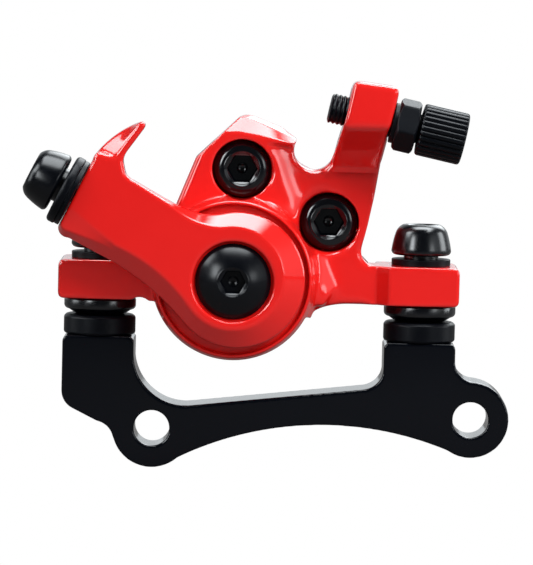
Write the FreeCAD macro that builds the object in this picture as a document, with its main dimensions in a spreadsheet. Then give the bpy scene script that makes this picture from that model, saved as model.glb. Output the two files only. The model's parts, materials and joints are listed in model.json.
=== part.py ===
import FreeCAD, Part
import math
import os
import Sketcher
from FreeCAD import Placement, Rotation, Vector

# Cable disc brake caliper on its adapter bracket, in millimetres
# +X runs right along the two mounting bolts, +Y runs inboard to the wheel, +Z runs up
# The origin is the centre of the left frame hole on the bracket's outboard face

doc = FreeCAD.newDocument("brake_caliper")

# Driving dimensions
TABLE = {
    "frame_hole_radius": 4.1,
    "frame_hole_chamfer": 0.8,
    "frame_hole_reach": 12.1,
    "frame_hole_rise": 3.6,
    "plate_thickness": 12.0,
    "left_lobe_radius": 9.1,
    "right_lobe_radius": 8.8,
    "arch_radius": 76.0,
    "arch_offset": 4.0,
    "arch_height": 1.6,
    "bar_left_height": 3.9,
    "bar_right_height": 10.6,
    "foot_height": 5.4,
    "left_post_blend": 12.0,
    "right_post_blend": 5.0,
    "foot_blend": 4.6,
    "post_width": 16.5,
    "post_depth": 15.0,
    "post_top": 21.0,
    "post_chamfer": 0.8,
    "left_bolt_x": -12.7,
    "bolt_spacing": 74.0,
    "bolt_radius": 3.0,
    "bolt_clearance": 0.3,
    "bolt_reach": 14.0,
    "thread_clearance": 0.05,
    "bolt_head_radius": 6.9,
    "bolt_head_height": 7.0,
    "bolt_head_flat": 4.3,
    "bolt_neck_radius": 4.0,
    "bolt_neck_height": 0.9,
    "bolt_key": 5.0,
    "washer_radius": 6.8,
    "washer_thickness": 1.5,
    "cup_radius": 8.3,
    "cup_height": 4.6,
    "dome_height": 4.0,
    "dome_rim_height": 2.85,
    "ball_seat_radius": 12.0,
    "seat_clearance": 0.05,
    "ear_height": 9.0,
    "ear_front": -1.5,
    "ear_depth": 18.0,
    "ear_left_reach": 9.45,
    "ear_right_reach": 8.7,
    "ear_block_width": 16.1,
    "ear_corner": 1.2,
    "ear_slot_length": 12.0,
    "pivot_x": 18.1,
    "pivot_z": 35.2,
    "rotor_distance": 66.0,
    "rotor_angle": 60.0,
    "rotor_plane": 21.5,
    "rotor_reach": 82.0,
    "slot_half_width": 3.5,
    "ring_radius": 18.8,
    "ring_front": -6.0,
    "ring_lip_radius": 17.9,
    "ring_taper": 3.0,
    "ring_round": 0.3,
    "ring_foot_radius": 20.2,
    "seal_recess_radius": 17.2,
    "seal_recess_depth": 1.5,
    "wall_thickness": 3.0,
    "body_front": -1.0,
    "body_step": 8.0,
    "body_facet": 3.0,
    "body_edge": 0.7,
    "flank_round": 1.6,
    "web_front": 1.0,
    "body_bolt_radius": 4.0,
    "body_bolt_head_radius": 6.5,
    "body_bolt_head_height": 8.0,
    "body_bolt_depth": 1.2,
    "body_bolt_key": 6.0,
    "body_bolt_length": 23.6,
    "counterbore_radius": 6.85,
    "upper_bolt_x": 19.5,
    "upper_bolt_z": 60.2,
    "side_bolt_x": 39.7,
    "side_bolt_z": 48.3,
    "tower_front": -13.5,
    "tower_depth": 10.0,
    "tower_back": 7.0,
    "tower_edge": 1.2,
    "adjuster_tilt": 12.0,
    "adjuster_x": 39.0,
    "adjuster_z": 75.05,
    "adjuster_thread": 3.45,
    "adjuster_head_start": 21.0,
    "adjuster_head_length": 10.5,
    "adjuster_head_radius": 5.95,
    "adjuster_flutes": 28,
    "flute_radius": 0.42,
    "cable_hole_radius": 1.3,
    "housing_socket_radius": 2.6,
    "housing_socket_depth": 8.0,
    "nut_start": 15.6,
    "nut_thickness": 4.8,
    "nut_across_flats": 11.0,
    "nut_collar_radius": 4.6,
    "nut_turn": -17.0,
    "inner_back": 34.5,
    "inner_boss_radius": 17.5,
    "boss_round": 1.4,
    "inner_plate_back": 32.5,
    "arm_front": -13.0,
    "arm_shoulder": -9.6,
    "arm_back": -6.4,
    "arm_hub_radius": 15.5,
    "arm_flat_radius": 11.7,
    "arm_lower_bend": 58.0,
    "face_lower_bend": 39.0,
    "arm_upper_bend": 16.0,
    "horn_back": -7.2,
    "horn_outer_bend": 24.0,
    "horn_inner_bend": 4.3,
    "horn_tip_round": 0.85,
    "horn_facet": 2.6,
    "foot_facet": 0.7,
    "head_recess_radius": 9.1,
    "head_recess_depth": 2.0,
    "spring_pocket_inner": 8.2,
    "spring_pocket_outer": 12.4,
    "spring_pocket_floor": -9.4,
    "pivot_bolt_radius": 3.0,
    "pivot_head_radius": 8.6,
    "pivot_head_rim": 0.7,
    "pivot_head_height": 3.4,
    "pivot_head_dome": 13.8,
    "pivot_head_flat": 3.9,
    "pivot_key": 5.0,
    "spindle_radius": 5.95,
    "spindle_hex": 9.0,
    "bush_wall": 1.05,
    "running_clearance": 0.05,
    "thrust_thickness": 1.5,
    "cam_clearance": 0.6,
    "cam_thickness": 4.4,
    "ball_radius": 2.0,
    "ball_circle_inset": 3.8,
    "cage_clearance": 0.6,
    "ball_count": 3,
    "ramp_clearance": 0.12,
    "ramp_gap": 1.6,
    "arm_travel": 40.0,
    "lead_per_radian": 2.0,
    "cage_thickness": 0.9,
    "cage_nose_radius": 5.0,
    "piston_radius": 12.92,
    "piston_clearance": 0.08,
    "piston_head": 5.0,
    "piston_foot_radius": 8.6,
    "piston_groove_place": 1.6,
    "piston_seal_radius": 0.9,
    "seal_proud": 0.1,
    "seal_clearance": 0.05,
    "key_width": 3.0,
    "key_height": 1.2,
    "key_clearance": 0.15,
    "magnet_radius": 4.0,
    "magnet_thickness": 2.4,
    "pad_width": 24.0,
    "pad_height": 20.0,
    "pad_corner": 3.0,
    "pad_clearance": 0.3,
    "backing_thickness": 1.8,
    "lining_margin": 1.5,
    "lining_thickness": 2.2,
    "lining_groove": 1.2,
    "pad_gap": 2.6,
    "carrier_radius": 9.2,
    "carrier_thickness": 2.6,
    "carrier_stub_radius": 3.0,
    "carrier_stub_length": 2.0,
    "screw_radius": 9.22,
    "screw_length": 4.6,
    "screw_bore_radius": 9.3,
    "screw_head_radius": 10.4,
    "screw_head_height": 2.4,
    "screw_head_gap": 1.4,
    "screw_key": 5.0,
    "screw_seal_radius": 0.8,
    "screw_groove_place": 1.5,
    "spring_wire": 0.55,
    "spring_radius": 10.3,
    "spring_pitch": 1.6,
    "spring_turns": 2,
    "seal_inner_radius": 13.0,
    "seal_outer_radius": 14.4,
    "anchor_tilt": 26.5,
    "anchor_x": -18.2,
    "anchor_z": 54.4,
    "anchor_bolt_radius": 2.45,
    "anchor_reach": 10.0,
    "anchor_plate_thickness": 1.1,
    "anchor_washer_thickness": 2.1,
    "anchor_washer_radius": 8.1,
    "anchor_washer_drop": 0.35,
}

sheet = doc.addObject("Spreadsheet::Sheet", "Sizes")
for row, (alias, value) in enumerate(TABLE.items(), start=1):
    sheet.set("A%d" % row, alias.replace("_", " "))
    sheet.set("B%d" % row, str(value))
    sheet.setAlias("B%d" % row, alias)
doc.recompute()


class Size:
    """A number kept together with the sheet expression that gives it."""

    def __init__(self, value, text):
        self.value = float(value)
        self.text = text

    def __add__(self, other):
        other = number(other)
        return Size(self.value + other.value, "(%s + %s)" % (self.text, other.text))

    def __sub__(self, other):
        other = number(other)
        return Size(self.value - other.value, "(%s - %s)" % (self.text, other.text))

    def __mul__(self, other):
        other = number(other)
        return Size(self.value * other.value, "(%s * %s)" % (self.text, other.text))

    def __truediv__(self, other):
        other = number(other)
        return Size(self.value / other.value, "(%s / %s)" % (self.text, other.text))

    def __neg__(self):
        return Size(-self.value, "(-1 * %s)" % self.text)

    def __radd__(self, other):
        return number(other) + self

    def __rsub__(self, other):
        return number(other) - self

    def __rmul__(self, other):
        return number(other) * self


def number(value):
    """A plain number as a Size, so that both can be mixed."""
    if isinstance(value, Size):
        return value
    return Size(value, "(%r)" % float(value))


def sine(angle):
    """Sine of an angle in degrees."""
    return Size(math.sin(math.radians(angle.value)), "sin(%s)" % angle.text)


def cosine(angle):
    """Cosine of an angle in degrees."""
    return Size(math.cos(math.radians(angle.value)), "cos(%s)" % angle.text)


class SheetSizes:
    """The sheet's cells by their alias."""

    def __getattr__(self, alias):
        return Size(getattr(sheet, alias), "Sizes." + alias)


size = SheetSizes()

# Places that several pieces share
BOLT_Y = size.post_depth / 2
RIGHT_BOLT_X = size.left_bolt_x + size.bolt_spacing
BOLT_XS = (size.left_bolt_x, RIGHT_BOLT_X)
RIGHT_HOLE_X = RIGHT_BOLT_X + size.frame_hole_reach
ARCH_X = RIGHT_HOLE_X / 2 + size.arch_offset
EAR_LEFT_END = size.left_bolt_x - size.ear_left_reach
EAR_RIGHT_END = RIGHT_BOLT_X + size.ear_right_reach
EAR_BOTTOM = size.post_top + size.cup_height + size.dome_height
EAR_TOP = EAR_BOTTOM + size.ear_height
ROTOR_X = size.pivot_x - size.rotor_distance * cosine(size.rotor_angle)
ROTOR_Z = size.pivot_z - size.rotor_distance * sine(size.rotor_angle)
SLOT_FRONT = size.rotor_plane - size.slot_half_width
SLOT_BACK = size.rotor_plane + size.slot_half_width
RECESS_FLOOR = size.ring_front + size.seal_recess_depth
WALL_BACK = RECESS_FLOOR + size.wall_thickness
CAM_FRONT = WALL_BACK + size.thrust_thickness + size.running_clearance * 2
CAM_BACK = CAM_FRONT + size.cam_thickness
CYLINDER_RADIUS = size.piston_radius + size.piston_clearance
CAM_RADIUS = CYLINDER_RADIUS - size.cam_clearance
BALL_CIRCLE = CAM_RADIUS - size.ball_circle_inset
PISTON_FRONT = CAM_BACK + size.ramp_gap
BALL_Y = CAM_BACK + size.ramp_gap / 2
MOVING_FACE = size.rotor_plane - size.pad_gap / 2
MOVING_PLATE = MOVING_FACE - size.lining_thickness
PISTON_BACK = MOVING_PLATE - size.backing_thickness
FIXED_FACE = size.rotor_plane + size.pad_gap / 2
FIXED_PLATE = FIXED_FACE + size.lining_thickness
CARRIER_FRONT = FIXED_PLATE + size.backing_thickness
SCREW_FRONT = CARRIER_FRONT + size.carrier_thickness
SCREW_BACK = SCREW_FRONT + size.screw_length
SCREW_HEAD = size.inner_back + size.screw_head_gap
HEAD_FLOOR = size.arm_front + size.head_recess_depth
BODY_BOLT_TOPS = (size.body_front + size.body_bolt_depth, size.web_front + size.body_bolt_depth)
BODY_BOLTS = ((size.upper_bolt_x, size.upper_bolt_z), (size.side_bolt_x, size.side_bolt_z))
ARM_MID = (size.arm_front + size.arm_back) / 2
ADJUSTER_Y = size.tower_front + size.tower_depth / 2
PAD_TURN = 90 - size.rotor_angle


# Helpers: sketches
def plane_of(body, role):
    """One of the body's own origin planes."""
    return next(item for item in body.Origin.OriginFeatures if item.Role == role)


def new_sketch(body, name, role, height):
    """An empty sketch on an origin plane, moved along its normal by a height."""
    sketch = body.newObject("Sketcher::SketchObject", name)
    sketch.AttachmentSupport = [(plane_of(body, role), "")]
    sketch.MapMode = "FlatFace"
    sketch.setExpression("AttachmentOffset.Base.z", number(height).text)
    return sketch


def fix_point(sketch, geometry, position, x, y):
    """Hold a sketch point at a distance from the sketch's origin."""
    for kind, value in (("DistanceX", x), ("DistanceY", y)):
        index = sketch.addConstraint(Sketcher.Constraint(kind, -1, 1, geometry, position, value.value))
        sketch.setExpression("Constraints[%d]" % index, value.text)


def fix_radius(sketch, geometry, radius):
    """Hold the radius of a circle or an arc."""
    index = sketch.addConstraint(Sketcher.Constraint("Radius", geometry, radius.value))
    sketch.setExpression("Constraints[%d]" % index, radius.text)


def arc_between(start, end, bend):
    """The minor arc from start to end: a positive bend turns left, a negative one right."""
    chord = end - start
    half = chord.Length / 2
    rise = math.sqrt(max(bend * bend - half * half, 0.0))
    left = Vector(-chord.y, chord.x, 0).normalize()
    middle = (start + end) * 0.5
    centre = middle + left * rise if bend > 0 else middle - left * rise
    circle = Part.Circle(centre, Vector(0, 0, 1), abs(bend))
    first, last = (start, end) if bend > 0 else (end, start)
    angles = [math.atan2(point.y - centre.y, point.x - centre.x) for point in (first, last)]
    return Part.ArcOfCircle(circle, angles[0], angles[1])


def draw_outline(sketch, outline):
    """Close an outline of corners; a corner's third value bends the side that leads to it."""
    corners = [tuple(number(value) for value in corner) for corner in outline]
    points = [Vector(corner[0].value, corner[1].value, 0) for corner in corners]
    sides = []
    for place, corner in enumerate(corners):
        start = points[place - 1]
        if len(corner) == 3:
            bend = corner[2].value
            index = sketch.addGeometry(arc_between(start, points[place], bend), False)
            sides.append((index, 1, 2) if bend > 0 else (index, 2, 1))
            fix_radius(sketch, index, corner[2] if bend > 0 else -corner[2])
        else:
            index = sketch.addGeometry(Part.LineSegment(start, points[place]), False)
            sides.append((index, 1, 2))
    for place, (index, head, tail) in enumerate(sides):
        following = sides[(place + 1) % len(sides)]
        sketch.addConstraint(Sketcher.Constraint("Coincident", index, tail, following[0], following[1]))
        fix_point(sketch, index, tail, corners[place][0], corners[place][1])


def draw_circle(sketch, x, y, radius):
    """A circle held at its centre."""
    centre_x, centre_y, radius = number(x), number(y), number(radius)
    circle = Part.Circle(Vector(centre_x.value, centre_y.value, 0), Vector(0, 0, 1), radius.value)
    index = sketch.addGeometry(circle, False)
    fix_point(sketch, index, 3, centre_x, centre_y)
    fix_radius(sketch, index, radius)


def draw(sketch, shapes):
    """Draw outlines, and circles given as three values."""
    for shape in shapes:
        if isinstance(shape, tuple):
            draw_circle(sketch, *shape)
        else:
            draw_outline(sketch, shape)


# Helpers: features, with depths along Y given from the front to the back
def new_body(label):
    """A body whose label names the piece."""
    body = doc.addObject("PartDesign::Body", label)
    body.Label = label
    return body


def pad(body, name, shapes, front, back):
    """Fill shapes drawn in X and Z from the front to the back."""
    sketch = new_sketch(body, name + "_sketch", "XZ_Plane", -number(back))
    draw(sketch, shapes)
    feature = body.newObject("PartDesign::Pad", name)
    feature.Profile = sketch
    feature.setExpression("Length", (number(back) - front).text)
    return feature


def pocket(body, name, shapes, front, back):
    """Cut shapes drawn in X and Z from the front to the back."""
    sketch = new_sketch(body, name + "_sketch", "XZ_Plane", -number(front))
    draw(sketch, shapes)
    feature = body.newObject("PartDesign::Pocket", name)
    feature.Profile = sketch
    feature.setExpression("Length", (number(back) - front).text)
    return feature


def pocket_down(body, name, shapes, top, depth):
    """Cut shapes drawn in X and Y downwards from a height."""
    sketch = new_sketch(body, name + "_sketch", "XY_Plane", top)
    draw(sketch, shapes)
    feature = body.newObject("PartDesign::Pocket", name)
    feature.Profile = sketch
    feature.setExpression("Length", number(depth).text)
    return feature


def ruled(body, name, near_outline, near, far_outline, far, kind):
    """Join or cut the straight-sided shape between two X and Z outlines at their places in Y."""
    sketches = []
    for end, outline, place in (("_near", near_outline, near), ("_far", far_outline, far)):
        sketch = new_sketch(body, name + end, "XZ_Plane", -number(place))
        draw(sketch, [outline])
        sketches.append(sketch)
    feature = body.newObject(kind, name)
    feature.Profile = sketches[0]
    feature.Sections = [sketches[1]]
    feature.Ruled = True
    return feature


def pocket_left(body, name, shapes, right, width):
    """Cut shapes drawn in Y and Z towards -X from a place."""
    sketch = new_sketch(body, name + "_sketch", "YZ_Plane", right)
    draw(sketch, shapes)
    feature = body.newObject("PartDesign::Pocket", name)
    feature.Profile = sketch
    feature.setExpression("Length", number(width).text)
    return feature


def turn(body, name, profile, kind="PartDesign::Revolution"):
    """Turn a profile of (radius, height) corners about the body's Z axis."""
    sketch = new_sketch(body, name + "_sketch", "XZ_Plane", 0)
    draw_outline(sketch, profile)
    feature = body.newObject(kind, name)
    feature.Profile = sketch
    feature.ReferenceAxis = (sketch, ["V_Axis"])
    feature.Angle = 360
    return feature


def turned(label, profile, place, rotation=Rotation()):
    """A turned piece, set at its place."""
    body = new_body(label)
    turn(body, label + "_turn", profile)
    set_place(body, place, rotation)
    return body


def set_place(body, place, rotation):
    """Place a body by three sizes and a rotation."""
    x, y, z = (number(value) for value in place)
    body.Placement = Placement(Vector(x.value, y.value, z.value), rotation)
    for axis, value in (("x", x), ("y", y), ("z", z)):
        body.setExpression("Placement.Base." + axis, value.text)


def hexagon(across_flats, turn_degrees=0.0):
    """Corners of a hexagon about the sketch's origin."""
    reach = number(across_flats) / math.sqrt(3.0)
    angles = [math.radians(turn_degrees + 60 * corner) for corner in range(6)]
    return [(reach * math.cos(angle), reach * math.sin(angle)) for angle in angles]


def hex_socket(body, name, across_flats, top, depth):
    """A hexagon socket cut down from the top of a turned piece, with a small lead-in."""
    reach = number(across_flats) / math.sqrt(3.0)
    lead = 0.35
    pocket_down(body, name, [hexagon(across_flats)], top, depth)
    turn(body, name + "_lead", [(0, top), (reach + lead, top), (0, number(top) - reach - lead)],
         "PartDesign::Groove")


def cut_cylinder(body, name, start, direction, radius, length):
    """Cut a round hole from a start point along a direction."""
    hole = body.newObject("PartDesign::SubtractiveCylinder", name)
    hole.AttachmentSupport = [(plane_of(body, "XY_Plane"), "")]
    hole.MapMode = "FlatFace"
    turn_to = Rotation(Vector(0, 0, 1), direction)
    hole.AttachmentOffset = Placement(start, turn_to)
    hole.setExpression("Radius", number(radius).text)
    hole.setExpression("Height", number(length).text)
    return hole


def cut_sphere(body, name, centre, radius):
    """Cut a ball-shaped hollow."""
    hollow = body.newObject("PartDesign::SubtractiveSphere", name)
    hollow.AttachmentSupport = [(plane_of(body, "XY_Plane"), "")]
    hollow.MapMode = "FlatFace"
    hollow.AttachmentOffset = Placement(centre, Rotation())
    hollow.setExpression("Radius", number(radius).text)
    return hollow


def edge_feature(body, name, kind, sizes, wanted):
    """Round or chamfer the edges of the body's tip that a test picks."""
    doc.recompute()
    base = body.Tip
    edges = ["Edge%d" % place for place, edge in enumerate(base.Shape.Edges, start=1) if wanted(edge)]
    if not edges:
        raise RuntimeError("no edge found for " + name)
    feature = body.newObject(kind, name)
    feature.Base = (base, edges)
    for name_of_size, value in sizes.items():
        feature.setExpression(name_of_size, number(value).text)
    return feature


def fillet(body, name, radius, wanted):
    """Round edges."""
    return edge_feature(body, name, "PartDesign::Fillet", {"Radius": radius}, wanted)


def chamfer(body, name, width, wanted):
    """Chamfer edges equally."""
    return edge_feature(body, name, "PartDesign::Chamfer", {"Size": width}, wanted)


def depth_edge_at(*places):
    """A test for straight edges along Y that pass one of the given X and Z places."""
    targets = [(number(x).value, number(z).value) for x, z in places]

    def wanted(edge):
        first, last = edge.firstVertex().Point, edge.lastVertex().Point
        if abs(first.x - last.x) > 1e-4 or abs(first.z - last.z) > 1e-4:
            return False
        return any(math.hypot(first.x - x, first.z - z) < 0.05 for x, z in targets)

    return wanted


def on_plane_y(edge, level):
    """Whether an edge lies wholly at one Y level."""
    box = edge.BoundBox
    return abs(box.YMin - number(level).value) < 1e-4 and abs(box.YMax - number(level).value) < 1e-4


def front_edge_between(front, corners):
    """A test for the straight edges at a place in Y that join the given X and Z corners."""
    def wanted(edge):
        ends = [(vertex.Point.x, vertex.Point.z) for vertex in (edge.firstVertex(), edge.lastVertex())]
        at_corners = all(any(math.dist(end, corner) < 0.01 for corner in corners) for end in ends)
        return on_plane_y(edge, front) and at_corners

    return wanted


def group(label, bodies):
    """Like pieces that share one node."""
    joined = doc.addObject("Part::Compound", label)
    joined.Label = label
    joined.Links = bodies
    return joined


# Axis of a turned piece: +Z of the piece points at the viewer's side, -Y
FACING = Rotation(Vector(1, 0, 0), 90)
PIVOT = (size.pivot_x, 0, size.pivot_z)


def along_y(profile):
    """A profile of (radius, Y) corners for a piece that faces -Y."""
    return [(corner[0], -number(corner[1])) + tuple(corner[2:]) for corner in profile]


def ring(inner, outer, front, back):
    """Profile of a plain ring about a Y axis."""
    return along_y([(inner, front), (outer, front), (outer, back), (inner, back)])


# Bracket and its fasteners
def adapter_bracket():
    """Plate with two posts, two frame holes and a lower arch."""
    body = new_body("adapter_bracket")
    half = size.post_width / 2
    left_out, left_in = size.left_bolt_x - half, size.left_bolt_x + half
    right_in, right_out = RIGHT_BOLT_X - half, RIGHT_BOLT_X + half
    below = -size.left_lobe_radius + 0.6
    plate = [
        (left_out, size.post_top),
        (left_out, size.foot_height),
        (-size.left_lobe_radius - 3.5, 1.3),
        (-size.left_lobe_radius + 0.25, -2.4, -size.foot_blend),
        (-size.left_lobe_radius / 2, -size.left_lobe_radius / 2),
        (3.0, below),
        (RIGHT_HOLE_X - 3.4, below),
        (RIGHT_HOLE_X, size.frame_hole_rise),
        (right_out, size.frame_hole_rise + 4.0),
        (right_out, size.post_top),
        (right_in, size.post_top),
        (right_in, size.bar_right_height),
        (left_in, size.bar_left_height),
        (left_in, size.post_top),
    ]
    pad(body, "plate", [plate], 0, size.plate_thickness)
    arch_z = size.arch_height - size.arch_radius
    pocket(body, "arch", [(ARCH_X, arch_z, size.arch_radius)], 0, size.plate_thickness)
    fillet(body, "left_post_blend", size.left_post_blend, depth_edge_at((left_in, size.bar_left_height)))
    fillet(body, "right_post_blend", size.right_post_blend,
           depth_edge_at((right_in, size.bar_right_height)))
    lobe = size.left_lobe_radius
    pad(body, "left_lobe", [[(-lobe, 0), (0, -lobe, lobe), (lobe, 0, lobe)]], 0, size.plate_thickness)
    pad(body, "right_lobe", [(RIGHT_HOLE_X, size.frame_hole_rise, size.right_lobe_radius)],
        0, size.plate_thickness)
    fillet(body, "foot_blend", size.foot_blend, depth_edge_at((left_out, size.foot_height)))
    rise = size.right_lobe_radius.value ** 2 - (right_out.value - RIGHT_HOLE_X.value) ** 2
    meeting = (right_out, size.frame_hole_rise.value + math.sqrt(rise))
    fillet(body, "flank_blend", size.foot_blend, depth_edge_at(meeting))
    for name, start in (("left_post", left_out), ("right_post", right_in)):
        back = [[(start, size.bar_right_height), (start + size.post_width, size.bar_right_height),
                 (start + size.post_width, size.post_top), (start, size.post_top)]]
        pad(body, name, back, 0, size.post_depth)
    corners = [(x, size.post_top) for x in (left_out, left_in, right_in, right_out)]
    chamfer(body, "post_chamfer", size.post_chamfer, depth_edge_at(*corners))
    holes = [(0, 0, size.frame_hole_radius),
             (RIGHT_HOLE_X, size.frame_hole_rise, size.frame_hole_radius)]
    pocket(body, "frame_holes", holes, 0, size.plate_thickness)
    for name, x in (("left_thread", size.left_bolt_x), ("right_thread", RIGHT_BOLT_X)):
        thread = size.bolt_radius + size.thread_clearance
        pocket_down(body, name, [(x, BOLT_Y, thread)], size.post_top, size.bolt_reach + 1)

    def hole_rims(edge):
        circle = isinstance(edge.Curve, Part.Circle) and on_plane_y(edge, size.plate_thickness)
        return circle and abs(edge.Curve.Radius - size.frame_hole_radius.value) < 1e-4

    chamfer(body, "hole_chamfer", size.frame_hole_chamfer, hole_rims)
    return body


def socket_bolt_profile(radius, reach, seat):
    """Bolt with a domed head on a narrow neck; its shank reaches down from the seat."""
    neck = number(seat) + size.bolt_neck_height
    top = neck + size.bolt_head_height
    tip = number(seat) - reach
    return [
        (0, tip), (number(radius) - 0.5, tip), (radius, tip + 0.5), (radius, seat),
        (size.bolt_neck_radius, seat), (size.bolt_neck_radius, neck),
        (size.bolt_head_radius - 0.9, neck), (size.bolt_head_radius, neck + 0.9, 1.0),
        (size.bolt_head_radius - 0.9, top - 1.9, 21.0), (size.bolt_head_flat, top, 3.2), (0, top),
    ]


def mounting_hardware():
    """Two bolts with their washers, and the domed and cupped washers under the ears."""
    bolts, washers, domes, cups = [], [], [], []
    seat = EAR_TOP + size.washer_thickness
    clear = size.bolt_radius + size.bolt_clearance
    dome_rim = size.cup_radius - 1.0
    rim_drop = math.sqrt(size.ball_seat_radius.value ** 2 - dome_rim.value ** 2)
    ball_height = EAR_BOTTOM - size.dome_rim_height + rim_drop
    bore_drop = math.sqrt(size.ball_seat_radius.value ** 2 - clear.value ** 2)
    cup_sphere = size.ball_seat_radius + size.seat_clearance
    cup_bore_drop = math.sqrt(cup_sphere.value ** 2 - (clear.value + 0.3) ** 2)
    cup_top = size.post_top + size.cup_height
    cup_mouth = math.sqrt(cup_sphere.value ** 2 - (ball_height.value - cup_top.value) ** 2)
    for side, x in zip(("left", "right"), BOLT_XS):
        place = (x, BOLT_Y, 0)
        reach = seat - size.post_top + size.bolt_reach
        bolt = turned("mounting_bolt_" + side, socket_bolt_profile(size.bolt_radius, reach, seat), place)
        hex_socket(bolt, "key_" + side, size.bolt_key, seat + size.bolt_neck_height + size.bolt_head_height,
                   size.bolt_key * 0.8)
        bolts.append(bolt)
        washer = [(clear, EAR_TOP), (size.washer_radius, EAR_TOP), (size.washer_radius, seat), (clear, seat)]
        washers.append(turned("mounting_washer_" + side, washer, place))
        dome = [(clear, EAR_BOTTOM), (clear, ball_height - bore_drop),
                (dome_rim, ball_height - rim_drop, size.ball_seat_radius),
                (size.cup_radius, ball_height - rim_drop + 1.0, 1.0), (size.cup_radius, EAR_BOTTOM - 0.4),
                (size.cup_radius - 0.4, EAR_BOTTOM)]
        domes.append(turned("domed_washer_" + side, dome, place))
        cup = [(clear + 0.3, size.post_top), (size.cup_radius - 0.4, size.post_top),
               (size.cup_radius, size.post_top + 0.4), (size.cup_radius, cup_top - 0.6),
               (size.cup_radius - 0.6, cup_top), (cup_mouth, cup_top),
               (clear + 0.3, ball_height - cup_bore_drop, -cup_sphere)]
        cups.append(turned("cup_washer_" + side, cup, place))
    return [group("mounting_bolts", bolts), group("mounting_washers", washers),
            group("domed_washers", domes), group("cup_washers", cups)]


# Caliper castings
def tower_outline():
    """Upper cable tower, leaning to the left like the adjuster in it."""
    return [(39.0, 55.7), (50.2, 55.7), (51.3, 62.7), (52.2, 67.3), (54.9, 80.1), (44.3, 81.4),
            (42.1, 71.0), (39.9, 62.7)]


def front_plate_outline():
    """Upper part of the outer half, as it shows beside the ring."""
    return [(20.0, 30.0), (38.9, 29.2), (42.3, 34.0), (46.0, 38.6), (49.3, 38.6), (47.3, 42.4, -3.4),
            (48.6, 47.8), (50.2, 55.7), (51.3, 62.7), (39.9, 62.7), (36.3, 60.2, -4.4), (31.1, 64.8, -5.2),
            (31.9, 67.2), (28.4, 69.7), (21.8, 72.2), (18.6, 72.0, 4.0), (8.8, 62.6), (4.7, 52.3), (1.5, 42.0)]


def rear_plate_outline():
    """Rear part of the outer half, which the inner half repeats."""
    return [(20.0, 36.0), (36.0, 37.0), (44.5, 40.5), (47.0, 48.0), (48.0, 55.5), (45.0, 59.0),
            (37.0, 58.4), (30.2, 62.0), (29.8, 65.8), (22.6, 70.0), (18.4, 70.2), (9.9, 61.8), (5.9, 51.0)]


def pad_pocket_outline():
    """Rectangle that guides a pad, square to the line from the rotor's centre."""
    along = size.pad_width / 2 + size.pad_clearance
    across = size.pad_height / 2 + size.pad_clearance
    slope, upright = sine(PAD_TURN), cosine(PAD_TURN)
    corners = []
    for side, end in ((-1, -1), (1, -1), (1, 1), (-1, 1)):
        x = size.pivot_x + side * along * upright + end * across * slope
        z = size.pivot_z - side * along * slope + end * across * upright
        corners.append((x, z))
    return corners


def ear_slot(x):
    """Slot that lets the caliper shift along Y on its bolt."""
    half = size.bolt_radius + size.bolt_clearance
    straight = (size.ear_slot_length - 2 * half) / 2
    return [(x - half, BOLT_Y + straight, half), (x - half, BOLT_Y - straight),
            (x, BOLT_Y - straight - half, half), (x + half, BOLT_Y - straight, half),
            (x + half, BOLT_Y + straight), (x, BOLT_Y + straight + half, half)]


def ring_cone(body, name, back, back_radius, front, front_radius, first=0, opening=360):
    """A cone about the pivot, or a part of it from a first angle, joined to the ring."""
    cone = body.newObject("PartDesign::AdditiveCone", name)
    cone.AttachmentSupport = [(plane_of(body, "XY_Plane"), "")]
    cone.MapMode = "FlatFace"
    lower_edge = Rotation(Vector(0, 0, 1), first)
    cone.AttachmentOffset = Placement(Vector(0, 0, 0), FACING * lower_edge)
    for axis, place in (("x", size.pivot_x), ("y", back), ("z", size.pivot_z)):
        cone.setExpression("AttachmentOffset.Base." + axis, place.text)
    cone.setExpression("Radius1", back_radius.text)
    cone.setExpression("Radius2", front_radius.text)
    cone.setExpression("Height", (back - front).text)
    cone.Angle = opening
    return cone


def adjuster_direction():
    """Unit vector along the cable adjuster, from its tip to its head."""
    tilt = math.radians(size.adjuster_tilt.value)
    return Vector(math.cos(tilt), 0, -math.sin(tilt))


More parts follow.
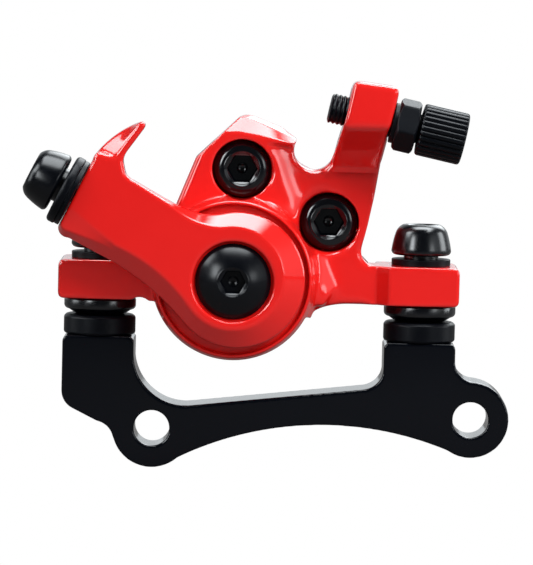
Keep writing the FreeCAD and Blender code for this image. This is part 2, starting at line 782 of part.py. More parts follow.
def outer_half():
    """Casting with the ears, the cylinder, the cable tower and the front of the rotor slot."""
    body = new_body("outer_half")
    pad(body, "tower", [tower_outline()], size.tower_front, size.tower_back)
    top = 90.0
    lean_front = [(size.tower_front - 8, 50), (size.web_front, 50), (size.web_front, 56.5),
                  (size.web_front - 2.5, 61.0, -7.0), (size.tower_front, 71.0), (size.tower_front - 8, 71.0)]
    pocket_left(body, "tower_front_lean", [lean_front], 62.0, 30.0)
    tower_rear = size.tower_front + size.tower_depth
    lean_back = [(tower_rear, top), (tower_rear, 72.0), (size.tower_back, 60.0), (size.tower_back + 8, 60.0),
                 (size.tower_back + 8, top)]
    pocket_left(body, "tower_back_lean", [lean_back], 62.0, 30.0)
    corners = [(54.9, 80.1), (44.3, 81.4)]
    fillet(body, "tower_corners", size.tower_edge, depth_edge_at(*corners))

    pad(body, "front_plate", [front_plate_outline()], size.body_front, size.body_step)
    facet_back = size.body_front + size.body_facet
    cover = [(36.0, 78.0), (13.4, 78.0)]
    facet_line = [(13.4, 68.6), (18.6, 68.7), (23.8, 67.9), (29.1, 66.7), (33.4, 65.6)] + cover
    facet_top = [(13.4, 72.0), (20.4, 72.0), (24.2, 70.6), (29.2, 68.5), (34.5, 66.2)] + cover
    brow_top = [(13.4, 72.6), (21.6, 72.6), (24.4, 71.7), (28.6, 70.0), (34.5, 65.7)] + cover
    cut = "PartDesign::SubtractiveLoft"
    ruled(body, "facet", facet_line, size.body_front - 0.01, facet_top, facet_back, cut)
    ruled(body, "brow", facet_top, facet_back - 0.01, brow_top, size.body_step, cut)
    low_side = [(60.0, 24.0), (60.0, 66.0)]
    ramp_top = low_side + [(24.8, 66.0), (42.6, 24.0)]
    ramp_foot = low_side + [(28.7, 66.0), (46.5, 24.0)]
    ruled(body, "side_ramp", ramp_top, size.body_front - 0.01, ramp_foot, size.web_front, cut)
    pad(body, "rear_plate", [rear_plate_outline()], size.body_step, size.rotor_plane)
    block_left = EAR_RIGHT_END - size.ear_block_width
    web = [(20.0, 27.4), (36.0, 27.4), (41.2, EAR_BOTTOM - 0.3, -14.0), (44.4, EAR_BOTTOM, -20.0),
           (block_left - 1.0, EAR_BOTTOM), (block_left - 1.0, EAR_TOP), (49.3, EAR_TOP), (46.0, 42.0),
           (30.0, 42.0)]
    pad(body, "web", [web], size.web_front, size.body_step + 4)
    left_ear = [(EAR_LEFT_END, EAR_BOTTOM), (-5.2, EAR_BOTTOM), (-1.2, EAR_BOTTOM - 0.2, -3.0),
                (6.0, EAR_BOTTOM), (6.0, EAR_TOP), (EAR_LEFT_END, EAR_TOP)]
    pad(body, "left_ear", [left_ear], size.ear_front, size.ear_front + size.ear_depth)
    right_ear = [(block_left - 3.0, EAR_BOTTOM), (EAR_RIGHT_END, EAR_BOTTOM),
                 (EAR_RIGHT_END, EAR_TOP), (block_left - 3.0, EAR_TOP)]
    pad(body, "right_ear", [right_ear], size.ear_front, size.ear_front + size.ear_depth)
    ear_step = [(block_left, size.ear_front), (block_left - 3.0, size.web_front),
                (block_left - 4.0, size.web_front), (block_left - 4.0, size.ear_front - 1),
                (block_left, size.ear_front - 1)]
    pocket_down(body, "ear_step", [ear_step], EAR_TOP, size.ear_height)
    ear_corners = [(EAR_LEFT_END, EAR_BOTTOM), (EAR_LEFT_END, EAR_TOP),
                   (EAR_RIGHT_END, EAR_BOTTOM), (EAR_RIGHT_END, EAR_TOP)]
    fillet(body, "ear_corners", size.ear_corner, depth_edge_at(*ear_corners))

    flank = [(8.8, 62.6), (4.7, 52.3), (1.5, 42.0)]
    fillet(body, "flank_rounding", size.flank_round, front_edge_between(size.body_front, flank))
    taper_end = size.ring_front + size.ring_taper
    pad(body, "cylinder_boss", [(size.pivot_x, size.pivot_z, size.ring_radius)], taper_end, SLOT_FRONT)
    ring_cone(body, "ring_taper", taper_end, size.ring_radius, size.ring_front, size.ring_lip_radius)

    def ring_rim(edge):
        circle = isinstance(edge.Curve, Part.Circle) and on_plane_y(edge, size.ring_front)
        return circle and abs(edge.Curve.Radius - size.ring_lip_radius.value) < 1e-4

    fillet(body, "ring_rim", size.ring_round, ring_rim)
    foot_end = size.web_front + 0.5
    ring_cone(body, "ring_foot", foot_end, size.ring_foot_radius, size.ring_front + 0.6,
              size.ring_lip_radius, -27, 54)
    pivot = (size.pivot_x, size.pivot_z)
    pocket(body, "seal_recess", [pivot + (size.seal_recess_radius,)], size.ring_front, RECESS_FLOOR)
    bush_seat = size.spindle_radius + size.running_clearance + size.bush_wall
    pocket(body, "spindle_hole", [pivot + (bush_seat,)], RECESS_FLOOR, WALL_BACK)
    pocket(body, "cylinder", [pivot + (CYLINDER_RADIUS,)], WALL_BACK, SLOT_FRONT + 1)
    half_key = size.key_width / 2 + size.key_clearance
    key_foot = size.pivot_z - size.piston_radius - size.key_height - size.key_clearance
    key_way = [(size.pivot_x - half_key, key_foot), (size.pivot_x + half_key, key_foot),
               (size.pivot_x + half_key, size.pivot_z), (size.pivot_x - half_key, size.pivot_z)]
    pocket(body, "key_way", [key_way], PISTON_FRONT - 0.4, SLOT_FRONT)
    pocket(body, "pad_pocket", [pad_pocket_outline()], PISTON_BACK - 0.1, size.rotor_plane)
    pocket(body, "rotor_slot", [(ROTOR_X, ROTOR_Z, size.rotor_reach)], SLOT_FRONT, size.rotor_plane)
    for name, place, top in zip(("upper", "side"), BODY_BOLTS, BODY_BOLT_TOPS):
        seat = top + size.body_bolt_head_height
        pocket(body, name + "_counterbore", [place + (size.counterbore_radius,)], size.ring_front, seat)
        clearance = size.body_bolt_radius + 0.25
        pocket(body, name + "_bolt_hole", [place + (clearance,)], seat, size.rotor_plane)
    for name, x in zip(("left", "right"), BOLT_XS):
        pocket_down(body, name + "_slot", [ear_slot(x)], EAR_TOP, size.ear_height)
    start = Vector(size.adjuster_x.value, ADJUSTER_Y.value, size.adjuster_z.value)
    cut_cylinder(body, "adjuster_thread", start, adjuster_direction(),
                 size.adjuster_thread + size.thread_clearance, 20.0)
    return body


def inner_half():
    """Casting behind the rotor, with the screw bore and the rear of the rotor slot."""
    body = new_body("inner_half")
    pad(body, "plate", [rear_plate_outline()], size.rotor_plane, size.inner_plate_back)
    pivot = (size.pivot_x, size.pivot_z)
    pad(body, "boss", [pivot + (size.inner_boss_radius,)], size.rotor_plane, size.inner_back)

    def boss_rim(edge):
        return on_plane_y(edge, size.inner_back)

    def plate_rim(edge):
        boss = isinstance(edge.Curve, Part.Circle) and abs(edge.Curve.Radius - size.inner_boss_radius.value) < 1e-4
        return on_plane_y(edge, size.inner_plate_back) and not boss

    fillet(body, "boss_edge", size.boss_round, boss_rim)
    chamfer(body, "plate_edge", size.body_edge, plate_rim)
    pocket(body, "rotor_slot", [(ROTOR_X, ROTOR_Z, size.rotor_reach)], size.rotor_plane, SLOT_BACK)
    pocket(body, "pad_pocket", [pad_pocket_outline()], size.rotor_plane, CARRIER_FRONT + 0.1)
    pocket(body, "screw_bore", [pivot + (size.screw_bore_radius,)], CARRIER_FRONT, size.inner_back)
    thread = size.body_bolt_radius + size.thread_clearance
    threads = [place + (thread,) for place in BODY_BOLTS]
    pocket(body, "bolt_threads", threads, size.rotor_plane, size.inner_back)
    return body


def body_bolts():
    """Two cap screws that hold the halves together."""
    bolts = []
    for name, (x, z), top in zip(("upper", "side"), BODY_BOLTS, BODY_BOLT_TOPS):
        head = size.body_bolt_head_radius
        seat = top + size.body_bolt_head_height
        tip = seat + size.body_bolt_length
        profile = along_y([
            (0, tip), (size.body_bolt_radius - 0.6, tip), (size.body_bolt_radius, tip - 0.6),
            (size.body_bolt_radius, seat), (head, seat), (head, top + 1.3), (head - 1.3, top, 1.5), (0, top)])
        bolt = turned("body_bolt_" + name, profile, (x, 0, z), FACING)
        hex_socket(bolt, "key_" + name, size.body_bolt_key, -top, size.body_bolt_key * 0.8)
        bolts.append(bolt)
    return group("body_bolts", bolts)


# Lever arm and what turns with it
def on_circle(hub, degrees):
    """A point of a hub circle given as (x, z, radius)."""
    angle = math.radians(degrees)
    return (hub[0] + hub[2] * math.cos(angle), hub[1] + hub[2] * math.sin(angle))


def blade_outline(hub, leave, foot, lower_bend, neck):
    """Arm outline without its horn: the foot's three corners, the hub circle and the neck."""
    return list(foot) + [
        on_circle(hub, leave) + (-lower_bend,),
        (hub[0] + hub[2], hub[1], hub[2]),
        on_circle(hub, 100.0) + (hub[2],),
        neck + (-size.arm_upper_bend,),
        (-4.9, 57.5),
        (-7.6, 61.6, -size.horn_inner_bend),
        (-8.6, 62.6),
        (-13.3, 63.9),
        (-14.4, 61.8),
    ]


def shoulder_outline():
    """Arm outline at its back and up to the bevel."""
    hub = (size.pivot_x + 0.85, size.pivot_z + 0.2, size.arm_hub_radius)
    foot = ((-21.9, 46.7), (-19.5, 44.1, 2.3), (-11.9, 40.2))
    return blade_outline(hub, 220.0, foot, size.arm_lower_bend, (4.6, 52.3))


def face_outline():
    """Outline of the arm's flat front inside the bevel."""
    hub = (size.pivot_x - 0.2, size.pivot_z + 0.8, size.arm_flat_radius)
    foot = ((-21.1, 47.8), (-20.1, 46.4, 1.3), (-11.5, 43.8))
    return blade_outline(hub, 215.0, foot, size.face_lower_bend, (4.3, 52.0))


def arm():
    """Actuating arm: a wide end for the cable, a horn that guides it, and a round hub."""
    body = new_body("arm")
    pad(body, "blade", [shoulder_outline()], size.arm_shoulder, size.arm_back)
    ruled(body, "bevel", shoulder_outline(), size.arm_shoulder, face_outline(), size.arm_front,
          "PartDesign::AdditiveLoft")
    horn = [(-12.6, 57.5), (-6.2, 56.5), (-7.4, 62.0), (-6.4, 64.3, -size.horn_inner_bend), (-2.6, 69.6),
            (-3.4, 71.0, size.horn_tip_round), (-14.2, 62.7, size.horn_outer_bend)]
    pad(body, "horn", [horn], size.arm_front, size.horn_back)
    cut = "PartDesign::SubtractiveLoft"
    above = [(-20.0, 76.0), (-20.0, 65.9)]
    ruled(body, "horn_facet", [(-8.6, 62.7), (-4.3, 70.4), (-4.3, 76.0)] + above, size.arm_front - 0.01,
          [(-13.3, 64.0), (-3.4, 71.6), (-3.4, 76.0)] + above, size.arm_front + size.horn_facet, cut)
    below = [(-12.0, 36.0), (-26.0, 42.0)]
    ruled(body, "foot_facet", [(-19.6, 51.9), (-9.0, 43.0)] + below, size.arm_front - 0.01,
          [(-21.6, 46.1), (-9.0, 42.3)] + below, size.arm_front + size.foot_facet, cut)
    pivot = (size.pivot_x, size.pivot_z)
    pocket(body, "head_recess", [pivot + (size.head_recess_radius,)], size.arm_front, HEAD_FLOOR)
    pocket(body, "spring_pocket", [pivot + (size.spring_pocket_outer,), pivot + (size.spring_pocket_inner,)],
           size.spring_pocket_floor, size.arm_back)
    flats = size.spindle_hex + size.running_clearance * 2
    hex_hole = [(size.pivot_x + x, size.pivot_z + z) for x, z in hexagon(flats)]
    pocket(body, "spindle_hole", [hex_hole], HEAD_FLOOR, size.arm_back)
    inward = anchor_outward() * -1.0
    start = Vector(size.anchor_x.value, ARM_MID.value, size.anchor_z.value) - inward * 2.0
    cut_cylinder(body, "anchor_thread", start, inward, size.anchor_bolt_radius + size.thread_clearance,
                 size.anchor_reach + 3.0)
    return body


def anchor_outward():
    """Unit vector out of the arm's end face."""
    tilt = math.radians(size.anchor_tilt.value)
    return Vector(-math.cos(tilt), 0, math.sin(tilt))


def anchor_parts():
    """Cable clamp on the arm's end: a plate, a thick washer and a bolt."""
    turn_out = Rotation(Vector(0, 0, 1), anchor_outward())
    place = (size.anchor_x, ARM_MID, size.anchor_z)
    drop = size.anchor_washer_drop
    washer_place = (size.anchor_x - drop * sine(size.anchor_tilt), ARM_MID,
                    size.anchor_z - drop * cosine(size.anchor_tilt))
    clear = size.anchor_bolt_radius + size.bolt_clearance + drop
    top = size.anchor_plate_thickness + size.anchor_washer_thickness
    plate_radius = size.anchor_washer_radius - 0.2
    plate = turned("anchor_plate", [(clear, 0), (plate_radius, 0), (plate_radius, size.anchor_plate_thickness),
                                    (clear, size.anchor_plate_thickness)], washer_place, turn_out)
    washer = turned("anchor_washer", [
        (clear, size.anchor_plate_thickness), (size.anchor_washer_radius - 0.2, size.anchor_plate_thickness),
        (size.anchor_washer_radius, size.anchor_plate_thickness + 0.2), (size.anchor_washer_radius, top - 0.8),
        (size.anchor_washer_radius - 0.8, top, 0.9), (clear, top)], washer_place, turn_out)
    bolt = turned("anchor_bolt", socket_bolt_profile(size.anchor_bolt_radius, top + size.anchor_reach, top),
                  place, turn_out)
    hex_socket(bolt, "anchor_key", size.bolt_key, top + size.bolt_neck_height + size.bolt_head_height,
               size.bolt_key * 0.8)
    return [plate, washer, bolt]


def pivot_bolt():
    """Domed bolt that clamps the arm on the spindle."""
    rim = HEAD_FLOOR - size.pivot_head_rim
    top = HEAD_FLOOR - size.pivot_head_height
    tip = CAM_FRONT - 1.5
    profile = along_y([
        (0, tip), (size.pivot_bolt_radius, tip), (size.pivot_bolt_radius, HEAD_FLOOR),
        (size.pivot_head_radius, HEAD_FLOOR), (size.pivot_head_radius, rim),
        (size.pivot_head_flat, top, size.pivot_head_dome), (0, top)])
    bolt = turned("pivot_bolt", profile, PIVOT, FACING)
    hex_socket(bolt, "pivot_key", size.pivot_key, -top, size.pivot_key * 0.6)
    return bolt


def ball_angles():
    """Rest angles of the balls, in degrees from +X towards +Z."""
    count = int(size.ball_count.value)
    return [90.0 + 360.0 * place / count for place in range(count)]


def on_ball_circle(angle, y, radius):
    """A point on the ball circle, in the part's frame."""
    turn_angle = math.radians(angle)
    return Vector(size.pivot_x.value + radius * math.cos(turn_angle), y,
                  size.pivot_z.value + radius * math.sin(turn_angle))


def cut_ramps(body, sweep, climb):
    """Tilted troughs that the balls roll along, from rest to the end of the arm's travel."""
    half_turn = sweep * size.arm_travel.value / 2
    rise = climb * size.lead_per_radian.value * math.radians(size.arm_travel.value) / 2
    flat = math.cos(math.radians(size.arm_travel.value / 4))
    reach = BALL_CIRCLE.value * 2 / (1 + flat)
    trough = size.ball_radius + size.ramp_clearance
    for place, angle in enumerate(ball_angles()):
        first = on_ball_circle(angle, BALL_Y.value, reach)
        last = on_ball_circle(angle + half_turn, BALL_Y.value + rise, reach)
        cut_sphere(body, "ramp_start_%d" % place, first, trough)
        cut_sphere(body, "ramp_end_%d" % place, last, trough)
        path = last - first
        cut_cylinder(body, "ramp_%d" % place, first, path, trough, path.Length)


def drive_cam():
    """Spindle with its hexagon for the arm, and the flange with three ball ramps."""
    body = new_body("drive_cam")
    pivot = (size.pivot_x, size.pivot_z)
    pad(body, "flange", [pivot + (CAM_RADIUS,)], CAM_FRONT, CAM_BACK)
    pad(body, "spindle", [pivot + (size.spindle_radius,)], size.arm_back, CAM_FRONT + 0.5)
    hex_drive = [(size.pivot_x + x, size.pivot_z + z) for x, z in hexagon(size.spindle_hex)]
    pad(body, "hex_drive", [hex_drive], HEAD_FLOOR + 0.1, size.arm_back + 0.5)
    pad(body, "nose", [pivot + (size.cage_nose_radius,)], CAM_BACK - 0.5, PISTON_FRONT - 0.2)
    bore = size.pivot_bolt_radius + size.thread_clearance
    pocket(body, "thread", [pivot + (bore,)], HEAD_FLOOR, CAM_FRONT)
    cut_ramps(body, 1, 1)
    return body


def ball_cage():
    """Thin ring that spaces the balls."""
    body = new_body("ball_cage")
    middle = BALL_Y
    front = middle - size.cage_thickness / 2
    pivot = (size.pivot_x, size.pivot_z)
    outer = CAM_RADIUS - size.cage_clearance
    pad(body, "disc", [pivot + (outer,), pivot + (size.cage_nose_radius + size.running_clearance * 2,)],
        front, front + size.cage_thickness)
    holes = []
    for angle in ball_angles():
        centre = (size.pivot_x + BALL_CIRCLE * math.cos(math.radians(angle)),
                  size.pivot_z + BALL_CIRCLE * math.sin(math.radians(angle)))
        holes.append(centre + (size.ball_radius + 0.08,))
    pocket(body, "ball_holes", holes, front, front + size.cage_thickness)
    return body


def steel_balls():
    """The balls between the ramps."""
    balls = []
    for place, angle in enumerate(ball_angles()):
        ball = doc.addObject("Part::Sphere", "ball_%d" % place)
        ball.setExpression("Radius", size.ball_radius.text)
        ball.Placement = Placement(on_ball_circle(angle, BALL_Y.value, BALL_CIRCLE.value), Rotation())
        balls.append(ball)
    return group("steel_balls", balls)


def piston():
    """Keyed piston with the second set of ramps and a foot for the pad."""
    body = new_body("piston")
    head_back = PISTON_FRONT + size.piston_head
    pivot = (size.pivot_x, size.pivot_z)
    pad(body, "head", [pivot + (size.piston_radius,)], PISTON_FRONT, head_back)
    pad(body, "foot", [pivot + (size.piston_foot_radius,)], head_back - 0.5, PISTON_BACK)
    half = size.key_width / 2
    key = [(size.pivot_x - half, size.pivot_z - size.piston_radius - size.key_height),
           (size.pivot_x + half, size.pivot_z - size.piston_radius - size.key_height),
           (size.pivot_x + half, size.pivot_z - size.piston_radius + 1.0),
           (size.pivot_x - half, size.pivot_z - size.piston_radius + 1.0)]
    pad(body, "key", [key], PISTON_FRONT + 0.2, head_back)
    groove_middle = head_back - size.piston_groove_place
    groove_inner = size.piston_radius - 2 * size.piston_seal_radius + size.seal_proud
    ring_outline = [pivot + (size.piston_radius + 4,), pivot + (groove_inner,)]
    pocket(body, "seal_groove", ring_outline, groove_middle - size.piston_seal_radius,
           groove_middle + size.piston_seal_radius)
    nose_room = size.cage_nose_radius + 0.4
    pocket(body, "nose_room", [pivot + (nose_room,)], PISTON_FRONT, PISTON_FRONT + 1.0)
    magnet_room = size.magnet_radius + size.running_clearance
    pocket(body, "magnet_room", [pivot + (magnet_room,)], PISTON_BACK - size.magnet_thickness - 0.1,
           PISTON_BACK)
    cut_ramps(body, -1, -1)
    return body


def torus_ring(label, ring_radius, section_radius, middle):
    """A round rubber ring about the pivot axis."""
    ring_piece = doc.addObject("Part::Torus", label)
    ring_piece.Label = label
    ring_piece.setExpression("Radius1", number(ring_radius).text)
    ring_piece.setExpression("Radius2", number(section_radius).text)
    set_place(ring_piece, (size.pivot_x, middle, size.pivot_z), FACING)
    return ring_piece


def pad_outline(margin):
    """Rounded rectangle of a pad or its lining, about the origin."""
    across = size.pad_width / 2 - margin
    tall = size.pad_height / 2 - margin
    corner = size.pad_corner - number(margin) / 2
    return [(-across + corner, -tall, corner), (across - corner, -tall), (across, -tall + corner, corner),
            (across, tall - corner), (across - corner, tall, corner), (-across + corner, tall),
            (-across, tall - corner, corner), (-across, -tall + corner)]


def brake_pad(name, plate_front, lining_front, groove_front):
    """Backing plate and lining of one pad."""
    turn_pad = Rotation(Vector(0, 1, 0), PAD_TURN.value)
    plate = new_body(name + "_plate")
    pad(plate, name + "_backing", [pad_outline(0)], plate_front, plate_front + size.backing_thickness)
    set_place(plate, PIVOT, turn_pad)
    lining = new_body(name + "_lining")
    pad(lining, name + "_friction", [pad_outline(size.lining_margin)], lining_front,
        lining_front + size.lining_thickness)
    half = size.lining_groove / 2
    tall = size.pad_height
    groove = [(-half, -tall), (half, -tall), (half, tall), (-half, tall)]
    depth = size.lining_thickness / 2
    pocket(lining, name + "_groove", [groove], groove_front, groove_front + depth)
    set_place(lining, PIVOT, turn_pad)
    return [plate, lining]


def return_spring():
    """Torsion spring in the arm's back, an unbroken wire on arcs of a quarter turn."""
    steps = 4
    pitch = size.spring_pitch.value
    radius = size.spring_radius.value
    count = int(size.spring_turns.value) * steps
    first_y = size.spring_pocket_floor.value + 0.75
    arcs = []

    def helix_point(turn_part):
        angle = 2 * math.pi * turn_part
        return Vector(radius * math.cos(angle), first_y + pitch * turn_part, radius * math.sin(angle))

    for place in range(count):
        start, middle, end = (helix_point((place + part) / steps) for part in (0.0, 0.5, 1.0))
        arcs.append(Part.Arc(start, middle, end).toShape())
    path = Part.Wire(arcs)
    tangent = Vector(0, pitch, 2 * math.pi * radius)
    section = Part.Wire(Part.makeCircle(size.spring_wire.value, helix_point(0), tangent))
    coil = path.makePipeShell([section], True, False)
    spring = doc.addObject("Part::Feature", "return_spring")
    spring.Label = "return_spring"
    spring.Shape = coil
    set_place(spring, PIVOT, Rotation())
    gap = pitch - 2 * size.spring_wire.value
    print("return_spring: least gap to itself %.2f mm, length %.1f mm" % (gap, path.Length))
    return spring


# Rear pad adjuster
def pad_carrier():
    """Disc behind the fixed pad, with a stub in the adjusting screw."""
    pivot = (size.pivot_x, size.pivot_z)
    body = new_body("pad_carrier")
    pad(body, "disc", [pivot + (size.carrier_radius,)], CARRIER_FRONT, SCREW_FRONT)
    pad(body, "stub", [pivot + (size.carrier_stub_radius,)], SCREW_FRONT - 0.2,
        SCREW_FRONT + size.carrier_stub_length)
    pocket(body, "magnet_room", [pivot + (size.magnet_radius + size.running_clearance,)], CARRIER_FRONT,
           CARRIER_FRONT + size.magnet_thickness + 0.1)
    return body


def pad_screw():
    """Adjusting screw with a fluted head and a hexagon socket."""
    groove_middle = SCREW_BACK - size.screw_groove_place
    groove = size.screw_seal_radius
    floor = size.screw_radius - 2 * groove
    neck = size.screw_radius - 1.0
    head_back = SCREW_HEAD + size.screw_head_height
    stub = size.carrier_stub_radius + size.running_clearance
    start = SCREW_FRONT + size.running_clearance
    profile = [
        (0, SCREW_FRONT + size.carrier_stub_length + 0.3), (stub, SCREW_FRONT + size.carrier_stub_length + 0.3),
        (stub, start), (size.screw_radius, start), (size.screw_radius, groove_middle - groove),
        (floor, groove_middle - groove), (floor, groove_middle + groove),
        (size.screw_radius, groove_middle + groove), (size.screw_radius, SCREW_BACK), (neck, SCREW_BACK),
        (neck, SCREW_HEAD), (size.screw_head_radius, SCREW_HEAD),
        (size.screw_head_radius, head_back - 0.6), (size.screw_head_radius - 0.6, head_back), (0, head_back)]
    back_facing = Rotation(Vector(1, 0, 0), -90)
    screw = turned("pad_screw", profile, PIVOT, back_facing)
    hex_socket(screw, "screw_key", size.screw_key, head_back, size.screw_key * 0.8)
    return screw


# Cable adjuster
def adjuster_place():
    """Place and rotation that set a turned piece on the adjuster's axis."""
    place = (size.adjuster_x, ADJUSTER_Y, size.adjuster_z)
    return place, Rotation(Vector(0, 0, 1), adjuster_direction())


def barrel_adjuster():
    """Hollow screw with a fluted head that holds the cable housing."""
    place, rotation = adjuster_place()
    start = size.adjuster_head_start
    end = start + size.adjuster_head_length
    head = size.adjuster_head_radius
    socket = end - size.housing_socket_depth
    profile = [
        (size.cable_hole_radius, 0), (size.adjuster_thread - 0.5, 0), (size.adjuster_thread, 0.5),
        (size.adjuster_thread, start), (head - 0.6, start), (head, start + 0.6), (head, end - 0.6),
        (head - 0.6, end), (size.housing_socket_radius, end), (size.housing_socket_radius, socket),
        (size.cable_hole_radius, socket)]
    body = turned("barrel_adjuster", profile, place, rotation)
    flute = pocket_down(body, "flute", [(head + 0.1, 0, size.flute_radius)], end,
                        size.adjuster_head_length)
    doc.recompute()
    flutes = body.newObject("PartDesign::PolarPattern", "flutes")
    flutes.Originals = [flute]
    flutes.Axis = (plane_of(body, "Z_Axis"), [""])
    flutes.Angle = 360
    flutes.setExpression("Occurrences", size.adjuster_flutes.text)
    body.Tip = flutes
    return body


def lock_nut():
    """Hexagon nut that locks the adjuster against the tower."""
    place, rotation = adjuster_place()
    body = new_body("lock_nut")
    front = size.nut_start
    back = front + size.nut_thickness
    bore = size.adjuster_thread + size.thread_clearance
    corner = size.nut_across_flats / math.sqrt(3.0)
    sketch = new_sketch(body, "hexagon_sketch", "XY_Plane", front)
    draw(sketch, [hexagon(size.nut_across_flats, size.nut_turn.value)])
    nut = body.newObject("PartDesign::Pad", "hexagon")
    nut.Profile = sketch
    nut.setExpression("Length", size.nut_thickness.text)
    flat = size.nut_across_flats / 2
    bevel_drop = (corner - flat) * math.tan(math.radians(35))
    for name, level, side in (("front", front, 1), ("back", back, -1)):
        turn(body, name + "_bevel", [(flat, level), (corner + 1, level),
                                     (corner + 1, level + side * (bevel_drop + 0.7))], "PartDesign::Groove")
    turn(body, "collar", [(bore, front - 1.0), (size.nut_collar_radius, front - 1.0),
                          (size.nut_collar_radius, front + 0.3), (bore, front + 0.3)])
    pocket_down(body, "thread", [(0, 0, bore)], back, size.nut_thickness + 2)
    set_place(body, place, rotation)
    return body


def sleeve_pieces():
    """Plain rings about the pivot: bush, thrust washer, dust seal and magnets."""
    inner = size.spindle_radius + size.running_clearance
    bush = turned("spindle_bush", ring(inner, inner + size.bush_wall, RECESS_FLOOR - 0.6, WALL_BACK), PIVOT, FACING)
    thrust = turned("thrust_washer", ring(inner + 0.2, CAM_RADIUS - 0.1,
                                          WALL_BACK + size.running_clearance,
                                          CAM_FRONT - size.running_clearance), PIVOT, FACING)
    seal = turned("dust_seal", ring(size.seal_inner_radius, size.seal_outer_radius, size.ring_front - 0.1,
                                    RECESS_FLOOR), PIVOT, FACING)
    moving = turned("piston_magnet", ring(0, size.magnet_radius, PISTON_BACK - size.magnet_thickness,
                                          PISTON_BACK), PIVOT, FACING)
    fixed = turned("carrier_magnet", ring(0, size.magnet_radius, CARRIER_FRONT,
                                          CARRIER_FRONT + size.magnet_thickness), PIVOT, FACING)
    return [bush, thrust, seal, moving, fixed]


def build_pieces():
    """Every node of the assembly."""
    seal_middle = PISTON_FRONT + size.piston_head - size.piston_groove_place
    seal_ring = size.piston_radius - size.piston_seal_radius + size.seal_proud
    screw_ring = size.screw_radius - size.screw_seal_radius
    pieces = [adapter_bracket()]
    pieces += mounting_hardware()
    pieces += [outer_half(), inner_half(), body_bolts()]
    pieces += [arm(), pivot_bolt()]
    pieces += anchor_parts()
    pieces += [drive_cam(), ball_cage(), steel_balls(), piston()]
    pieces.append(torus_ring("piston_seal", seal_ring, size.piston_seal_radius - size.seal_clearance, seal_middle))
    pieces += brake_pad("moving_pad", PISTON_BACK, MOVING_PLATE, MOVING_FACE - size.lining_thickness / 2)
    pieces += brake_pad("fixed_pad", FIXED_PLATE, FIXED_FACE, FIXED_FACE)
    pieces += [pad_carrier(), pad_screw()]
    screw_section = size.screw_seal_radius - size.seal_clearance
    pieces.append(torus_ring("screw_seal", screw_ring, screw_section, SCREW_BACK - size.screw_groove_place))
    pieces += sleeve_pieces()
    pieces += [return_spring(), barrel_adjuster(), lock_nut()]
    return pieces


def check_document():
    """Stop if any object failed to rebuild."""
    for item in doc.Objects:
        if "Invalid" in item.State or "Error" in item.State:
            raise RuntimeError("%s failed to rebuild: %s" % (item.Name, item.State))


def export_pieces(pieces):
    """Write each node's shape to its own file."""
    os.makedirs("parts", exist_ok=True)
    for piece in pieces:
        shape = piece.Shape
        if shape.isNull() or not shape.isValid():
            raise RuntimeError("%s has no valid shape" % piece.Label)
        shape.exportStep("parts/%s.step" % piece.Label)
        box = shape.BoundBox
        print("%-18s %d solid(s) %9.1f mm3  x %6.1f %6.1f  y %6.1f %6.1f  z %6.1f %6.1f" % (
            piece.Label, len(shape.Solids), shape.Volume, box.XMin, box.XMax, box.YMin, box.YMax,
            box.ZMin, box.ZMax))


pieces_built = build_pieces()
doc.recompute()
check_document()
export_pieces(pieces_built)
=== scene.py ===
import bmesh
import bpy
import json
import math
import numpy as np
from mathutils import Matrix, Vector

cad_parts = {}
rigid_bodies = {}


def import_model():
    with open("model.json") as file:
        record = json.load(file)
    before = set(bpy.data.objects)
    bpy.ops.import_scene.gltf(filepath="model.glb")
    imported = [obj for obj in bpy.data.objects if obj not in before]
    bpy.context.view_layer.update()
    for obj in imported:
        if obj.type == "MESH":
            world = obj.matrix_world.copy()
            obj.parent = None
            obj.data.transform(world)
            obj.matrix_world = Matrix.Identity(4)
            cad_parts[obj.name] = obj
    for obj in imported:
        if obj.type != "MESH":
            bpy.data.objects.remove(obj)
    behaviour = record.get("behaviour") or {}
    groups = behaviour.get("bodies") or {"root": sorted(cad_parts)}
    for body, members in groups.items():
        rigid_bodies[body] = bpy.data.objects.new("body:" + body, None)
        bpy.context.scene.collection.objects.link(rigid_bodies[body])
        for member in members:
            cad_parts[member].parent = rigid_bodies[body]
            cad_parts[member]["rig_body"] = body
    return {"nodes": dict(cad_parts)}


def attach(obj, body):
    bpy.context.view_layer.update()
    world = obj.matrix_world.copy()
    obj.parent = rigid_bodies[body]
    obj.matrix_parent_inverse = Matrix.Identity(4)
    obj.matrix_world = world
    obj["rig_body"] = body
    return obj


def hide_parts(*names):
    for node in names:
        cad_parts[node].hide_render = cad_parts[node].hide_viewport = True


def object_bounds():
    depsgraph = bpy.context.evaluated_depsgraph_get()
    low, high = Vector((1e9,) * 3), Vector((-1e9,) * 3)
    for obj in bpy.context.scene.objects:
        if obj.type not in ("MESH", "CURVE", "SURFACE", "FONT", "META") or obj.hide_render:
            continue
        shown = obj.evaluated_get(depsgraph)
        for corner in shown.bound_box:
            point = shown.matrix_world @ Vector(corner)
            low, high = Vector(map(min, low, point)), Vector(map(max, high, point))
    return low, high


# Cable disc brake caliper in gloss red on a satin black bracket, in metres
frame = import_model()
cad_low, cad_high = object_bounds()

MM = 0.001
SCENE = bpy.context.scene


